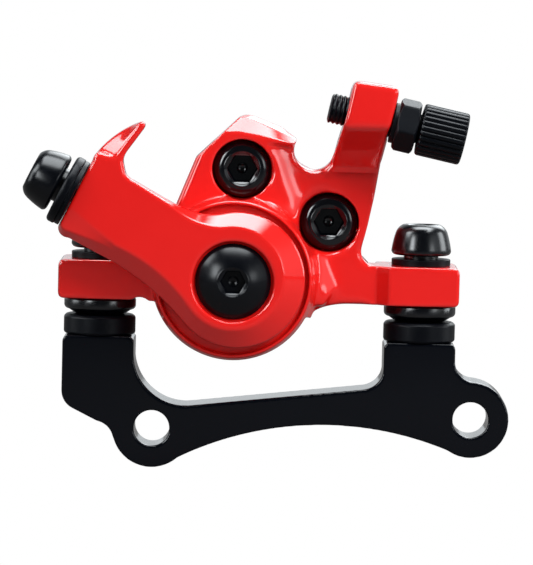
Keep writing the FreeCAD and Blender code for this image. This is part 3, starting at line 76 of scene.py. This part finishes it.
# Shader maths
class Socket:
    """An output of a finish's nodes. Arithmetic on it adds Math nodes."""

    def __init__(self, finish, output):
        self.finish = finish
        self.output = output

    def maths(self, operation, first, second):
        return self.finish.node("ShaderNodeMath", {"operation": operation}, {0: first, 1: second})

    def __add__(self, other):
        return self.maths("ADD", self, other)

    def __radd__(self, other):
        return self.maths("ADD", other, self)

    def __rsub__(self, other):
        return self.maths("SUBTRACT", other, self)

    def __mul__(self, other):
        return self.maths("MULTIPLY", self, other)

    def __rmul__(self, other):
        return self.maths("MULTIPLY", other, self)

    def __truediv__(self, other):
        return self.maths("DIVIDE", self, other)

    def above(self, low, high):
        """0 below low, 1 above high, smooth in between."""
        return self.finish.node("ShaderNodeMapRange", {"interpolation_type": "SMOOTHSTEP"},
                                {"Value": self, "From Min": low, "From Max": high})


class Graph:
    """A node tree with one method that adds nodes."""

    def __init__(self, owner, end):
        owner.use_nodes = True
        self.tree = owner.node_tree
        self.tree.nodes.clear()
        self.end = self.tree.nodes.new(end)

    def node(self, kind, settings=None, inputs=None, output=0):
        """Adds one node: its settings first, then the values or links of its sockets."""
        made = self.tree.nodes.new(kind)
        for key, value in (settings or {}).items():
            setattr(made, key, value)
        for key, value in (inputs or {}).items():
            self.feed(made.inputs[key], value)
        return Socket(self, made.outputs[output])

    def feed(self, socket, value):
        if isinstance(value, Socket):
            self.tree.links.new(value.output, socket)
        else:
            socket.default_value = value


class Finish(Graph):
    """A procedural finish: one Principled shader, with nodes added by node()."""

    def __init__(self, name, **fixed):
        self.material = bpy.data.materials.new(name)
        super().__init__(self.material, "ShaderNodeOutputMaterial")
        self.shader = self.tree.nodes.new("ShaderNodeBsdfPrincipled")
        self.tree.links.new(self.shader.outputs[0], self.end.inputs["Surface"])
        for socket, value in fixed.items():
            self.shader.inputs[socket.replace("_", " ")].default_value = value

    def place(self):
        return self.node("ShaderNodeTexCoord", output="Object")

    def noise(self, size_mm, detail=2.0):
        """Noise with features of about size_mm, 0 to 1."""
        inputs = {"Vector": self.place(), "Scale": 1000.0 / size_mm, "Detail": detail, "Roughness": 0.5}
        return self.node("ShaderNodeTexNoise", None, inputs)

    def mix(self, factor, first, second):
        """Colour mix."""
        return self.node("ShaderNodeMix", {"data_type": "RGBA"}, {0: factor, 6: first, 7: second}, 2)

    def bump(self, height, strength, distance_mm):
        return self.node("ShaderNodeBump", None,
                         {"Strength": strength, "Distance": distance_mm * MM, "Height": height})

    def set(self, socket, value):
        self.feed(self.shader.inputs[socket], value)


def colour(red, green, blue):
    return (red, green, blue, 1.0)


# Darker and lighter tone of each coloured finish
LACQUER_TONES = (colour(0.77, 0.008, 0.006), colour(0.87, 0.012, 0.010))
POWDER_TONES = (colour(0.0006, 0.0012, 0.003), colour(0.0018, 0.0026, 0.005))
OXIDE_TONES = (colour(0.0008, 0.0012, 0.0025), colour(0.0025, 0.0032, 0.005))


def gloss_red():
    """Thick gloss lacquer over a die casting."""
    finish = Finish("gloss_red", Coat_Weight=1.0, Coat_Roughness=0.04, Coat_IOR=1.5)
    finish.shader.inputs["Specular IOR Level"].default_value = 0.15
    drift = finish.noise(14.0, 2.0)
    finish.set("Base Color", finish.mix(drift, *LACQUER_TONES))
    finish.set("Roughness", 0.34 + 0.10 * finish.noise(1.2))
    ripple = finish.noise(3.0, 1.0)
    finish.set("Normal", finish.bump(ripple, 0.2, 0.012))
    return finish.material


def satin_black():
    """Powder coat of the bracket."""
    finish = Finish("satin_black", Coat_Weight=1.0, Coat_Roughness=0.1, Coat_IOR=1.25)
    finish.shader.inputs["Specular IOR Level"].default_value = 0.08
    drift = finish.noise(20.0, 3.0)
    finish.set("Base Color", finish.mix(drift, *POWDER_TONES))
    finish.set("Roughness", 0.12 + 0.12 * finish.noise(0.8, 3.0))
    finish.set("Normal", finish.bump(finish.noise(0.45, 2.0), 0.15, 0.006))
    return finish.material


def black_oxide(name="black_oxide", base=0.16, spread=0.12, grain=0.15, specular=0.5):
    """Blackened steel or anodised alloy. Its roughness goes from base to base + spread."""
    finish = Finish(name)
    finish.shader.inputs["Specular IOR Level"].default_value = specular
    drift = finish.noise(4.0, 3.0)
    finish.set("Base Color", finish.mix(drift, *OXIDE_TONES))
    finish.set("Roughness", base + spread * finish.noise(0.7, 3.0))
    finish.set("Normal", finish.bump(finish.noise(0.5, 3.0), grain, 0.008))
    return finish.material


def plain(name, base, metallic, low, high):
    """Finish of a piece that is mostly hidden, with a drift of tone and gloss."""
    finish = Finish(name, Metallic=metallic)
    darker = tuple(0.75 * part for part in base[:3]) + (1.0,)
    finish.set("Base Color", finish.mix(finish.noise(2.5, 3.0), darker, base))
    finish.set("Roughness", low + (high - low) * finish.noise(0.6, 3.0))
    return finish.material


# Mesh helpers: points closer than WELD in metres merge, and edges over SHARP_DEGREES stay sharp
WELD = 2e-6
FLAT_DEGREES = 0.6
SHARP_DEGREES = 32.0


def smooth_by_angle(mesh, degrees):
    mesh.shade_smooth()
    mesh.set_sharp_from_angle(angle=math.radians(degrees))


def rounded_copy(node, width_mm, material):
    """A merged copy of a CAD node whose sharp edges are rounded by width_mm; it stands for the node."""
    mesh = frame["nodes"][node].data.copy()
    piece = bpy.data.objects.new(node + "_shell", mesh)
    SCENE.collection.objects.link(piece)
    shape = bmesh.new()
    shape.from_mesh(mesh)
    bmesh.ops.remove_doubles(shape, verts=shape.verts, dist=WELD)
    bmesh.ops.dissolve_limit(shape, angle_limit=math.radians(FLAT_DEGREES), verts=shape.verts,
                             edges=shape.edges, delimit=set())
    shape.to_mesh(mesh)
    shape.free()
    mesh.materials.clear()
    mesh.materials.append(material)
    smooth_by_angle(mesh, SHARP_DEGREES)
    bevel = piece.modifiers.new("rounding", "BEVEL")
    bevel.width = width_mm * MM
    bevel.segments = 2
    bevel.limit_method = "ANGLE"
    bevel.angle_limit = math.radians(SHARP_DEGREES)
    bevel.use_clamp_overlap = False
    bevel.harden_normals = True
    bevel.miter_outer = "MITER_ARC"
    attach(piece, frame["nodes"][node]["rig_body"])
    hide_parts(node)


def softened(points, edges, passes, spots):
    """Moves each point towards the mean of its neighbours, everywhere and then more in the spots.

    A spot is (low corner, high corner, fade, passes) in mm; its weight falls to 0 over fade.
    """
    count = len(points)
    degree = np.bincount(edges.ravel(), minlength=count)[:, None]
    rounds = [(passes, np.full((count, 1), 0.5))]
    for low, high, fade, more in spots:
        inside = np.minimum(points / MM - low, high - points / MM).clip(0, fade) / fade
        rounds.append((more, 0.5 * inside.prod(axis=1)[:, None]))
    for steps, weight in rounds:
        for _ in range(steps):
            mean = np.empty_like(points)
            for axis in range(3):
                line = points[:, axis]
                mean[:, axis] = np.bincount(edges[:, 0], line[edges[:, 1]], count)
                mean[:, axis] += np.bincount(edges[:, 1], line[edges[:, 0]], count)
            points = points + weight * (mean / degree - points)
    return points


def cast_copy(node, voxel_mm, passes, keep, material, spots=()):
    """A copy of a CAD node whose edges are softened, as on a painted casting.

    The copy is remeshed at voxel_mm and softened, and then thinned to the share keep of its faces.
    """
    mesh = frame["nodes"][node].data.copy()
    piece = bpy.data.objects.new(node + "_shell", mesh)
    SCENE.collection.objects.link(piece)
    shape = bmesh.new()
    shape.from_mesh(mesh)
    bmesh.ops.remove_doubles(shape, verts=shape.verts, dist=WELD)
    shape.to_mesh(mesh)
    shape.free()
    mesh.materials.clear()
    mesh.materials.append(material)
    grid = piece.modifiers.new("grid", "REMESH")
    grid.mode = "VOXEL"
    grid.voxel_size = voxel_mm * MM
    mesh = bpy.data.meshes.new_from_object(piece.evaluated_get(bpy.context.evaluated_depsgraph_get()))
    piece.modifiers.clear()
    piece.data = mesh
    points = np.empty(3 * len(mesh.vertices))
    mesh.vertices.foreach_get("co", points)
    edges = np.empty(2 * len(mesh.edges), dtype=np.int64)
    mesh.edges.foreach_get("vertices", edges)
    points = softened(points.reshape(-1, 3), edges.reshape(-1, 2), passes, spots)
    mesh.vertices.foreach_set("co", points.ravel())
    mesh.shade_smooth()
    thin = piece.modifiers.new("thin", "DECIMATE")
    thin.ratio = keep
    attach(piece, frame["nodes"][node]["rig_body"])
    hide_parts(node)


# Turned pieces, as rings of points about an axis
def around(count, start=0.0):
    """Angles of the points of a ring."""
    return start + np.arange(count) * (2 * math.pi / count)


def hexagon(across_flats, angles, start=0.0):
    """Radius of a hexagon at the angles, with a corner at start."""
    within = np.mod(angles - start, math.pi / 3) - math.pi / 6
    return across_flats / 2 / np.cos(within)


def bend(first, last, radius, steps=5):
    """Points of an arc that bulges away from the axis, from first to last, without first."""
    first, last = np.array(first), np.array(last)
    half = np.linalg.norm(last - first) / 2
    along = (last - first) / (2 * half)
    centre = (first + last) / 2 + math.sqrt(radius ** 2 - half ** 2) * np.array([-along[1], along[0]])
    opening = 2 * math.asin(half / radius)
    points = []
    for step in range(1, steps + 1):
        turn = opening * step / steps
        arm = first - centre
        points.append((centre[0] + arm[0] * math.cos(turn) - arm[1] * math.sin(turn),
                       centre[1] + arm[0] * math.sin(turn) + arm[1] * math.cos(turn)))
    return points


def ring_faces(rings, count, first, closed):
    """Quads between rings of count points, with indices from first."""
    here = np.arange(count)
    after = np.roll(here, -1)
    faces = []
    pairs = [(low, low + 1) for low in range(rings - 1)] + ([(rings - 1, 0)] if closed else [])
    for low, up in pairs:
        a, b = first + low * count, first + up * count
        faces += np.stack([a + here, a + after, b + after, b + here], axis=1).tolist()
    return faces


def turned_piece(name, body, stands_for, solids, material, sharp=SHARP_DEGREES):
    """One mesh of turned solids. Each is rings of (radius, height) in mm, angles, place and axis.

    Radius and height are numbers or arrays over the angles. A solid whose first radius is 0 is
    closed by a point at both ends; any other is a tube whose last ring joins its first.
    """
    points, faces = [], []
    for rings, angles, place, axis in solids:
        count = len(angles)
        tube = np.max(np.asarray(rings[0][0])) > 0
        inner = rings if tube else rings[1:-1]
        stack = []
        for radius, height in inner:
            radius, height = np.broadcast_to(radius, count), np.broadcast_to(height, count)
            stack.append(np.stack([radius * np.cos(angles), radius * np.sin(angles), height], axis=1))
        first = sum(len(part) for part in points)
        faces += ring_faces(len(inner), count, first, tube)
        grid = np.concatenate(stack)
        if not tube:
            low, top = first + len(grid), first + len(grid) + 1
            grid = np.concatenate([grid, [[0, 0, rings[0][1]], [0, 0, rings[-1][1]]]])
            last = first + (len(inner) - 1) * count
            for here in range(count):
                after = (here + 1) % count
                faces.append([low, first + after, first + here])
                faces.append([top, last + here, last + after])
        turn = np.array(Vector((0, 0, 1)).rotation_difference(Vector(axis)).to_matrix())
        points.append(grid @ turn.T + np.array(place))
    mesh = bpy.data.meshes.new(name)
    mesh.from_pydata((np.concatenate(points) * MM).tolist(), [], faces)
    smooth_by_angle(mesh, sharp)
    mesh.materials.append(material)
    piece = bpy.data.objects.new(name, mesh)
    SCENE.collection.objects.link(piece)
    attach(piece, body)
    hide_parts(stands_for)


def socket_rings(top, key, depth, angles, lip):
    """Rings of a hexagon socket inwards: a thin ridge, a cone of width lip, the walls, a flat floor."""
    corner = key / math.sqrt(3)
    mouth = corner + 0.2
    flat = hexagon(key, angles)
    low = top - 0.9 * lip
    drop = 0.45 * (mouth - flat)
    return [(mouth + lip + 0.3, top - 0.08), (mouth + lip + 0.17, top - 0.02), (mouth + lip + 0.1, top),
            (mouth + lip + 0.03, top - 0.02), (mouth + 0.06, low), (mouth - 0.04, low - 0.05),
            (flat + 0.05, low - 0.08 - drop), (flat, low - 0.15 - drop), (flat, top - depth + 0.2),
            (flat - 0.2, top - depth), (1.3, top - depth - 0.02), (1.2, top - depth - 0.1),
            (0, top - depth - 0.8)]


def mounting_rings(shank, tip, angles):
    """Rings of a domed socket bolt on a narrow neck; height 0 is its seat."""
    head = 7.9
    rings = [(0, tip), (shank - 0.5, tip), (shank, tip + 0.5), (shank, 0)]
    rings += [(4.0, 0), (4.0, 0.9), (6.0, 0.9)]
    rings += bend((6.0, 0.9), (6.9, 1.8), 1.0) + bend((6.9, 1.8), (6.0, 6.0), 21.0)
    rings += bend((6.0, 6.0), (4.3, head), 3.2, 8)
    return rings + socket_rings(head, 5.0, 4.0, angles, 0.3)


def cap_rings(angles):
    """Rings of a cap screw that holds the halves together."""
    rings = [(0, -23.6), (3.4, -23.6), (4.0, -23.0), (4.0, 0), (6.2, 0), (6.5, 0.3), (6.5, 6.3)]
    rings += bend((6.5, 6.3), (4.6, 7.92), 2.3, 9)
    return rings + socket_rings(8.0, 6.0, 4.8, angles, 0.35)


def dome_rings(angles):
    """Rings of the pivot bolt's domed head."""
    top = 3.4
    rings = [(0, -9.6), (2.6, -9.6), (3.0, -9.2), (3.0, 0), (8.5, 0), (8.6, 0.1), (8.6, 0.6)]
    rings += bend((8.6, 0.6), (3.95, top - 0.14), 13.8, 14)
    return rings + socket_rings(top, 5.0, 2.8, angles, 0.28)


# Places in mm of the seats of the bolts' heads, and of the adjuster's threaded end
MOUNTING_PLACES = ((-12.7, 7.5, 40.1), (61.3, 7.5, 40.1))
CAP_PLACES = ((19.5, 8.2, 60.2), (39.7, 10.2, 48.3))
PIVOT_PLACE = (18.1, -11.0, 35.2)
ANCHOR_FACE = (-18.2, -9.7, 54.4)
ANCHOR_STACK = 3.2
ANCHOR_TILT = 26.5
ADJUSTER_PLACE = (39.0, -8.5, 75.05)
ADJUSTER_TILT = 12.0
UPWARD = (0, 0, 1)
OUTBOARD = (0, -1, 0)
BOLT_POINTS = 120


def bolts(material, bright, dull):
    """All socket bolts; the cap screws are glossier and the two on the arm duller."""
    angles = around(BOLT_POINTS)
    mounting = [(mounting_rings(3.0, -33.1, angles), angles, place, UPWARD) for place in MOUNTING_PLACES]
    turned_piece("mounting_bolt_heads", "bracket", "mounting_bolts", mounting, material)
    caps = [(cap_rings(angles), angles, place, OUTBOARD) for place in CAP_PLACES]
    turned_piece("body_bolt_heads", "caliper", "body_bolts", caps, bright)
    pivot = [(dome_rings(angles), angles, PIVOT_PLACE, OUTBOARD)]
    turned_piece("pivot_bolt_head", "lever", "pivot_bolt", pivot, dull)
    tilt = math.radians(ANCHOR_TILT)
    outward = (-math.cos(tilt), 0, math.sin(tilt))
    seat = np.array(ANCHOR_FACE) + ANCHOR_STACK * np.array(outward)
    anchor = [(mounting_rings(2.45, -13.2, angles), angles, seat, outward)]
    turned_piece("anchor_bolt_head", "lever", "anchor_bolt", anchor, dull)


def adjuster_axis():
    """Direction of the adjuster and its nut, from the tower outwards."""
    tilt = math.radians(ADJUSTER_TILT)
    return (math.cos(tilt), 0, -math.sin(tilt))


def adjuster(material):
    """Hollow adjuster: a helical thread of 1 mm pitch and a head with 28 flutes.

    Thread radius: 3.45 - 0.36 * |2 * frac(height - angle / turn) - 1| ** 1.3, height in mm.
    Head radius: 5.95 - 0.38 * |cos(14 * angle)| ** 6.
    """
    angles = around(168)
    crest, groove, pitch = 3.45, 0.36, 1.0
    rings = [(1.3, 0.0), (2.7, 0.0), (2.95, 0.12)]
    for height in np.arange(0.3, 20.9, 0.125):
        phase = np.mod(height - angles / (2 * math.pi), pitch)
        rings.append((crest - groove * np.abs(2 * phase - 1) ** 1.3, height))
    flutes, flute_depth = 28, 0.38
    flute = flute_depth * np.abs(np.cos(flutes / 2 * angles)) ** 6
    head = ((5.2, 21.0, 0), (5.5, 21.05, 0.3), (5.75, 21.2, 0.8), (5.9, 21.45, 1), (5.95, 21.7, 1),
            (5.95, 30.8, 1), (5.9, 31.05, 1), (5.75, 31.3, 0.8), (5.5, 31.45, 0.3), (5.2, 31.5, 0),
            (2.8, 31.5, 0), (2.6, 31.3, 0), (2.6, 23.5, 0), (1.3, 23.5, 0))
    for radius, height, share in head:
        rings.append((radius - flute * share, height))
    solid = (rings, angles, ADJUSTER_PLACE, adjuster_axis())
    turned_piece("adjuster_screw", "barrel", "barrel_adjuster", [solid], material, 50.0)


def nut(material):
    """Hexagon lock nut with bevelled faces and a collar."""
    start = math.radians(-17.0)
    angles = around(BOLT_POINTS, start)
    across_flats, corner, bore = 11.0, 6.26, 3.5
    sides = np.minimum(hexagon(across_flats, angles, start), corner)
    low, top, slope = 15.6, 20.4, 0.7
    drop = (sides - across_flats / 2) * slope
    rings = [(bore, top), (bore + 0.4, top), (5.15, top), (5.35, top - 0.04),
             (sides - 0.1, top - drop - 0.02), (sides, top - drop - 0.15), (sides, low + drop + 0.15),
             (sides - 0.1, low + drop + 0.02), (5.35, low + 0.04), (5.15, low), (4.6, low),
             (4.6, low - 0.85), (4.45, low - 1.0), (bore, low - 1.0)]
    solid = (rings[::-1], angles, ADJUSTER_PLACE, adjuster_axis())
    turned_piece("lock_nut_body", "nut", "lock_nut", [solid], material)


RED = gloss_red()
BLACK = satin_black()
OXIDE = black_oxide()
CAP_OXIDE = black_oxide("cap_oxide", 0.10, 0.09, 0.12)
WASHER = black_oxide("washer_black", 0.26, 0.25, 0.5, 0.11)
ANODISED = black_oxide("anodised_black", 0.26, 0.12, 0.15, 0.15)
SATIN_OXIDE = black_oxide("satin_oxide", 0.18, 0.1, 0.15, 0.24)
NUT_BLACK = black_oxide("nut_black", 0.42, 0.12, 0.3, 0.15)
STEEL = plain("ground_steel", colour(0.50, 0.50, 0.50), 1.0, 0.25, 0.4)
BRASS = plain("brass", colour(0.60, 0.42, 0.16), 1.0, 0.3, 0.45)
RUBBER = plain("rubber", colour(0.015, 0.015, 0.015), 0.0, 0.6, 0.75)
LINING = plain("pad_lining", colour(0.10, 0.085, 0.075), 0.0, 0.8, 0.95)
PLATE = plain("pad_plate", colour(0.35, 0.35, 0.36), 1.0, 0.35, 0.5)

# Softer spots in mm: the ramp, the gusset, the cable tower and both ears of the outer half
OUTER_SPOTS = (
    ((25.0, -4.0, 46.0), (40.0, 5.0, 66.5), 2.0, 200),
    ((34.5, -4.0, 28.0), (50.0, 5.0, 45.0), 2.5, 90),
    ((36.0, -30.0, 54.0), (62.0, 30.0, 86.0), 2.5, 60),
    ((-24.0, -20.0, 28.0), (-15.0, 40.0, 44.0), 2.0, 14),
    ((63.0, -20.0, 28.0), (76.0, 40.0, 44.0), 2.0, 10),
)
# The same for the arm: the horn and the recess of the pivot bolt
ARM_SPOTS = (
    ((-16.0, -20.0, 58.0), (4.0, 0.0, 80.0), 1.5, 30),
    ((7.0, -14.0, 24.0), (29.0, -8.0, 46.0), 1.0, 12),
)
# Voxel in mm, passes, share of the faces kept, finish and softer spots
CAST = {
    "outer_half": (0.22, 8, 0.42, RED, OUTER_SPOTS),
    "inner_half": (0.35, 6, 0.3, RED, ()),
    "arm": (0.21, 10, 1.0, RED, ARM_SPOTS),
    "adapter_bracket": (0.3, 6, 0.3, BLACK, ()),
}
for node, (voxel, passes, keep, material, spots) in CAST.items():
    cast_copy(node, voxel, passes, keep, material, spots)

# Width of the rounding in mm and finish
ROUNDED = {
    "mounting_washers": (0.15, WASHER),
    "domed_washers": (0.2, OXIDE),
    "cup_washers": (0.25, WASHER),
    "anchor_washer": (0.2, WASHER),
    "anchor_plate": (0.15, WASHER),
}
for node, (width, material) in ROUNDED.items():
    rounded_copy(node, width, material)
bolts(OXIDE, CAP_OXIDE, SATIN_OXIDE)
adjuster(ANODISED)
nut(NUT_BLACK)

# Pieces that show their solids as they are
KEPT = {
    "drive_cam": STEEL, "ball_cage": BRASS, "steel_balls": STEEL, "piston": STEEL, "piston_seal": RUBBER,
    "moving_pad_plate": PLATE, "moving_pad_lining": LINING, "fixed_pad_plate": PLATE,
    "fixed_pad_lining": LINING, "pad_carrier": STEEL, "pad_screw": ANODISED, "screw_seal": RUBBER,
    "spindle_bush": BRASS, "thrust_washer": STEEL, "dust_seal": RUBBER, "piston_magnet": STEEL,
    "carrier_magnet": STEEL, "return_spring": STEEL,
}
for node, material in KEPT.items():
    kept = frame["nodes"][node]
    kept.data.materials.clear()
    kept.data.materials.append(material)


# Camera
CAMERA_PLACE = (0.0257, -0.8873, 0.1041)
CAMERA_ABOVE = 4.5
CAMERA_ROLL = 1.40
SENSOR_MM = 36.0
FOCAL_PX = 3877.0
LONG_SIDE_PX = 565.0


def set_camera():
    """Camera of the photograph: 4.5 degrees above, turned 1.4 degrees about its axis."""
    tilt = math.radians(CAMERA_ABOVE)
    roll = math.radians(CAMERA_ROLL)
    data = bpy.data.cameras.new("camera")
    data.sensor_width = SENSOR_MM
    data.lens = FOCAL_PX * SENSOR_MM / LONG_SIDE_PX
    data.clip_start = 0.01
    camera = bpy.data.objects.new("camera", data)
    SCENE.collection.objects.link(camera)
    camera.location = CAMERA_PLACE
    facing = Matrix.Rotation(math.pi / 2 - tilt, 4, "X") @ Matrix.Rotation(roll, 4, "Z")
    camera.rotation_euler = facing.to_euler()
    SCENE.camera = camera


# Studio
class Studio(Graph):
    """The room as the world: soft panels and a white wall behind the object."""

    def __init__(self, world):
        super().__init__(world, "ShaderNodeOutputWorld")
        self.seen_along = self.node("ShaderNodeTexCoord", output="Generated")

    def along(self, direction):
        """How far the view direction points along a direction."""
        return self.node("ShaderNodeVectorMath", {"operation": "DOT_PRODUCT"},
                         {0: self.seen_along, 1: direction}, "Value")

    def panel(self, direction, half_width, half_height, soft, radiance):
        """A panel with soft edges. Its half sizes are tangents of the angles they fill."""
        centre = Vector(direction).normalized()
        overhead = centre.z > 0.9
        side = centre.cross(Vector((0, 1, 0) if overhead else (0, 0, 1))).normalized()
        rise = side.cross(centre)
        ahead = self.along(centre)
        mask = ahead.above(0.02, 0.06)
        for axis, half in ((side, half_width), (rise, half_height)):
            offset = self.node("ShaderNodeMath", {"operation": "ABSOLUTE"}, {0: self.along(axis) / ahead})
            mask = mask * (1.0 - offset.above(half - soft, half + soft))
        return mask * radiance

    def light(self, strength, tint=(1.0, 1.0, 1.0)):
        return self.node("ShaderNodeBackground", None, {"Color": tint + (1.0,), "Strength": strength})

    def choose(self, factor, first, second):
        return self.node("ShaderNodeMixShader", None, {0: factor, 1: first, 2: second})

    def ray(self, kind):
        return self.node("ShaderNodeLightPath", output=kind)


def soft_box(name, place, aim, width, height, level):
    """A rectangular lamp that lights a facing surface at aim to the level asked for, 1 is white."""
    data = bpy.data.lights.new(name, "AREA")
    data.shape = "RECTANGLE"
    data.size = width
    data.size_y = height
    distance = (Vector(aim) - Vector(place)).length
    data.energy = level * (math.pi * distance) ** 2
    lamp = bpy.data.objects.new(name, data)
    SCENE.collection.objects.link(lamp)
    lamp.location = place
    lamp.rotation_euler = (Vector(aim) - Vector(place)).to_track_quat("-Z", "Y").to_euler()
    lamp.visible_glossy = False


# Panels that gloss shows: direction, half width, half height, soft edge, radiance
PANELS = (
    ((0.08, -0.12, 1.0), 0.44, 0.40, 0.14, 15.5),
    ((0.32, 0.80, 0.70), 0.30, 0.34, 0.14, 7.0),
    ((0.77, -0.64, 0.04), 0.34, 0.50, 0.22, 0.8),
    ((0.66, -0.74, 0.14), 0.12, 0.14, 0.07, 5.0),
    ((0.55, -0.75, -0.38), 0.12, 0.10, 0.06, 2.5),
    ((1.0, 0.10, 0.10), 0.22, 0.50, 0.08, 7.0),
    ((-1.0, 0.0, 0.15), 0.20, 0.45, 0.06, 6.0),
    ((-0.76, -0.22, 0.60), 0.24, 0.20, 0.07, 13.0),
    ((-0.60, -0.74, 0.28), 0.12, 0.20, 0.06, 16.0),
)

# What gloss sees of the room besides, and its cool tint
ROOM_LEVEL = 0.05
WALL_LEVEL = 0.75
RIGHT_LEVEL = 0.3
LEFT_LEVEL = 0.15
GLOSS_TINT = (0.92, 0.97, 1.0)
# Light of the even room, and how much more comes from above in front
EVEN_LEVEL = 0.37
ABOVE_LEVEL = 0.6
ABOVE_IN_FRONT = (0.08, -0.62, 0.78)


def world_light():
    """White to the camera. Gloss shows the panels and the wall, the rest is an even room."""
    world = bpy.data.worlds.new("studio")
    SCENE.world = world
    room = Studio(world)
    wall = room.along((0, 1, 0)).above(0.5, 0.85)
    right = room.along((1, 0, 0)).above(0.45, 0.95)
    left = room.along((-1, 0, 0)).above(0.6, 1.0)
    mirrored = ROOM_LEVEL + wall * WALL_LEVEL + right * RIGHT_LEVEL + left * LEFT_LEVEL
    for direction, half_width, half_height, soft, radiance in PANELS:
        mirrored = mirrored + room.panel(direction, half_width, half_height, soft, radiance)
    even = EVEN_LEVEL + room.along(ABOVE_IN_FRONT).above(0.1, 1.0) * ABOVE_LEVEL
    gloss = room.light(mirrored, GLOSS_TINT)
    lit = room.choose(room.ray("Is Glossy Ray"), room.light(even), gloss)
    shown = room.choose(room.ray("Is Camera Ray"), lit, room.light(1.0))
    room.feed(room.end.inputs["Surface"], shown)


KEY_OFFSET = (0.50, -0.52, 0.55)
KEY_SIDE = 0.35
KEY_LEVEL = 0.8
FLOOR_REACH = 6.0
FLOOR_GAP = 0.0005
FLOOR_FAR = colour(0.09, 0.095, 0.10)
FLOOR_NEAR = colour(0.25, 0.25, 0.25)
FLOOR_FADE = (-0.45, -0.12)


def studio():
    """Key lamp in front above, and a floor that shows white and is seen grey by the object.

    The grey goes from FLOOR_FAR in front to FLOOR_NEAR under the object, over FLOOR_FADE along Y.
    """
    centre = (cad_low + cad_high) / 2
    soft_box("key", centre + Vector(KEY_OFFSET), centre, KEY_SIDE, KEY_SIDE, KEY_LEVEL)
    floor_mesh = bpy.data.meshes.new("floor")
    level = cad_low.z - FLOOR_GAP
    corners = [(x * FLOOR_REACH, y * FLOOR_REACH, level) for x, y in ((-1, -1), (1, -1), (1, 1), (-1, 1))]
    floor_mesh.from_pydata(corners, [], [(0, 1, 2, 3)])
    floor = bpy.data.objects.new("floor", floor_mesh)
    SCENE.collection.objects.link(floor)
    material = bpy.data.materials.new("floor_white")
    paper = Graph(material, "ShaderNodeOutputMaterial")
    place = paper.node("ShaderNodeTexCoord", output="Object")
    depth = paper.node("ShaderNodeSeparateXYZ", None, {0: place}, 1)
    near = depth.above(*FLOOR_FADE)
    tone = paper.node("ShaderNodeMix", {"data_type": "RGBA"},
                      {0: near, 6: FLOOR_FAR, 7: FLOOR_NEAR}, 2)
    grey = paper.node("ShaderNodeBsdfDiffuse", None, {"Color": tone})
    glow = paper.node("ShaderNodeEmission", None, {"Strength": 1.0})
    seen = paper.node("ShaderNodeLightPath", output="Is Camera Ray")
    shown = paper.node("ShaderNodeMixShader", None, {0: seen, 1: grey, 2: glow})
    paper.feed(paper.end.inputs["Surface"], shown)
    floor_mesh.materials.append(material)


set_camera()
world_light()
studio()
SCENE.view_settings.view_transform = "Standard"
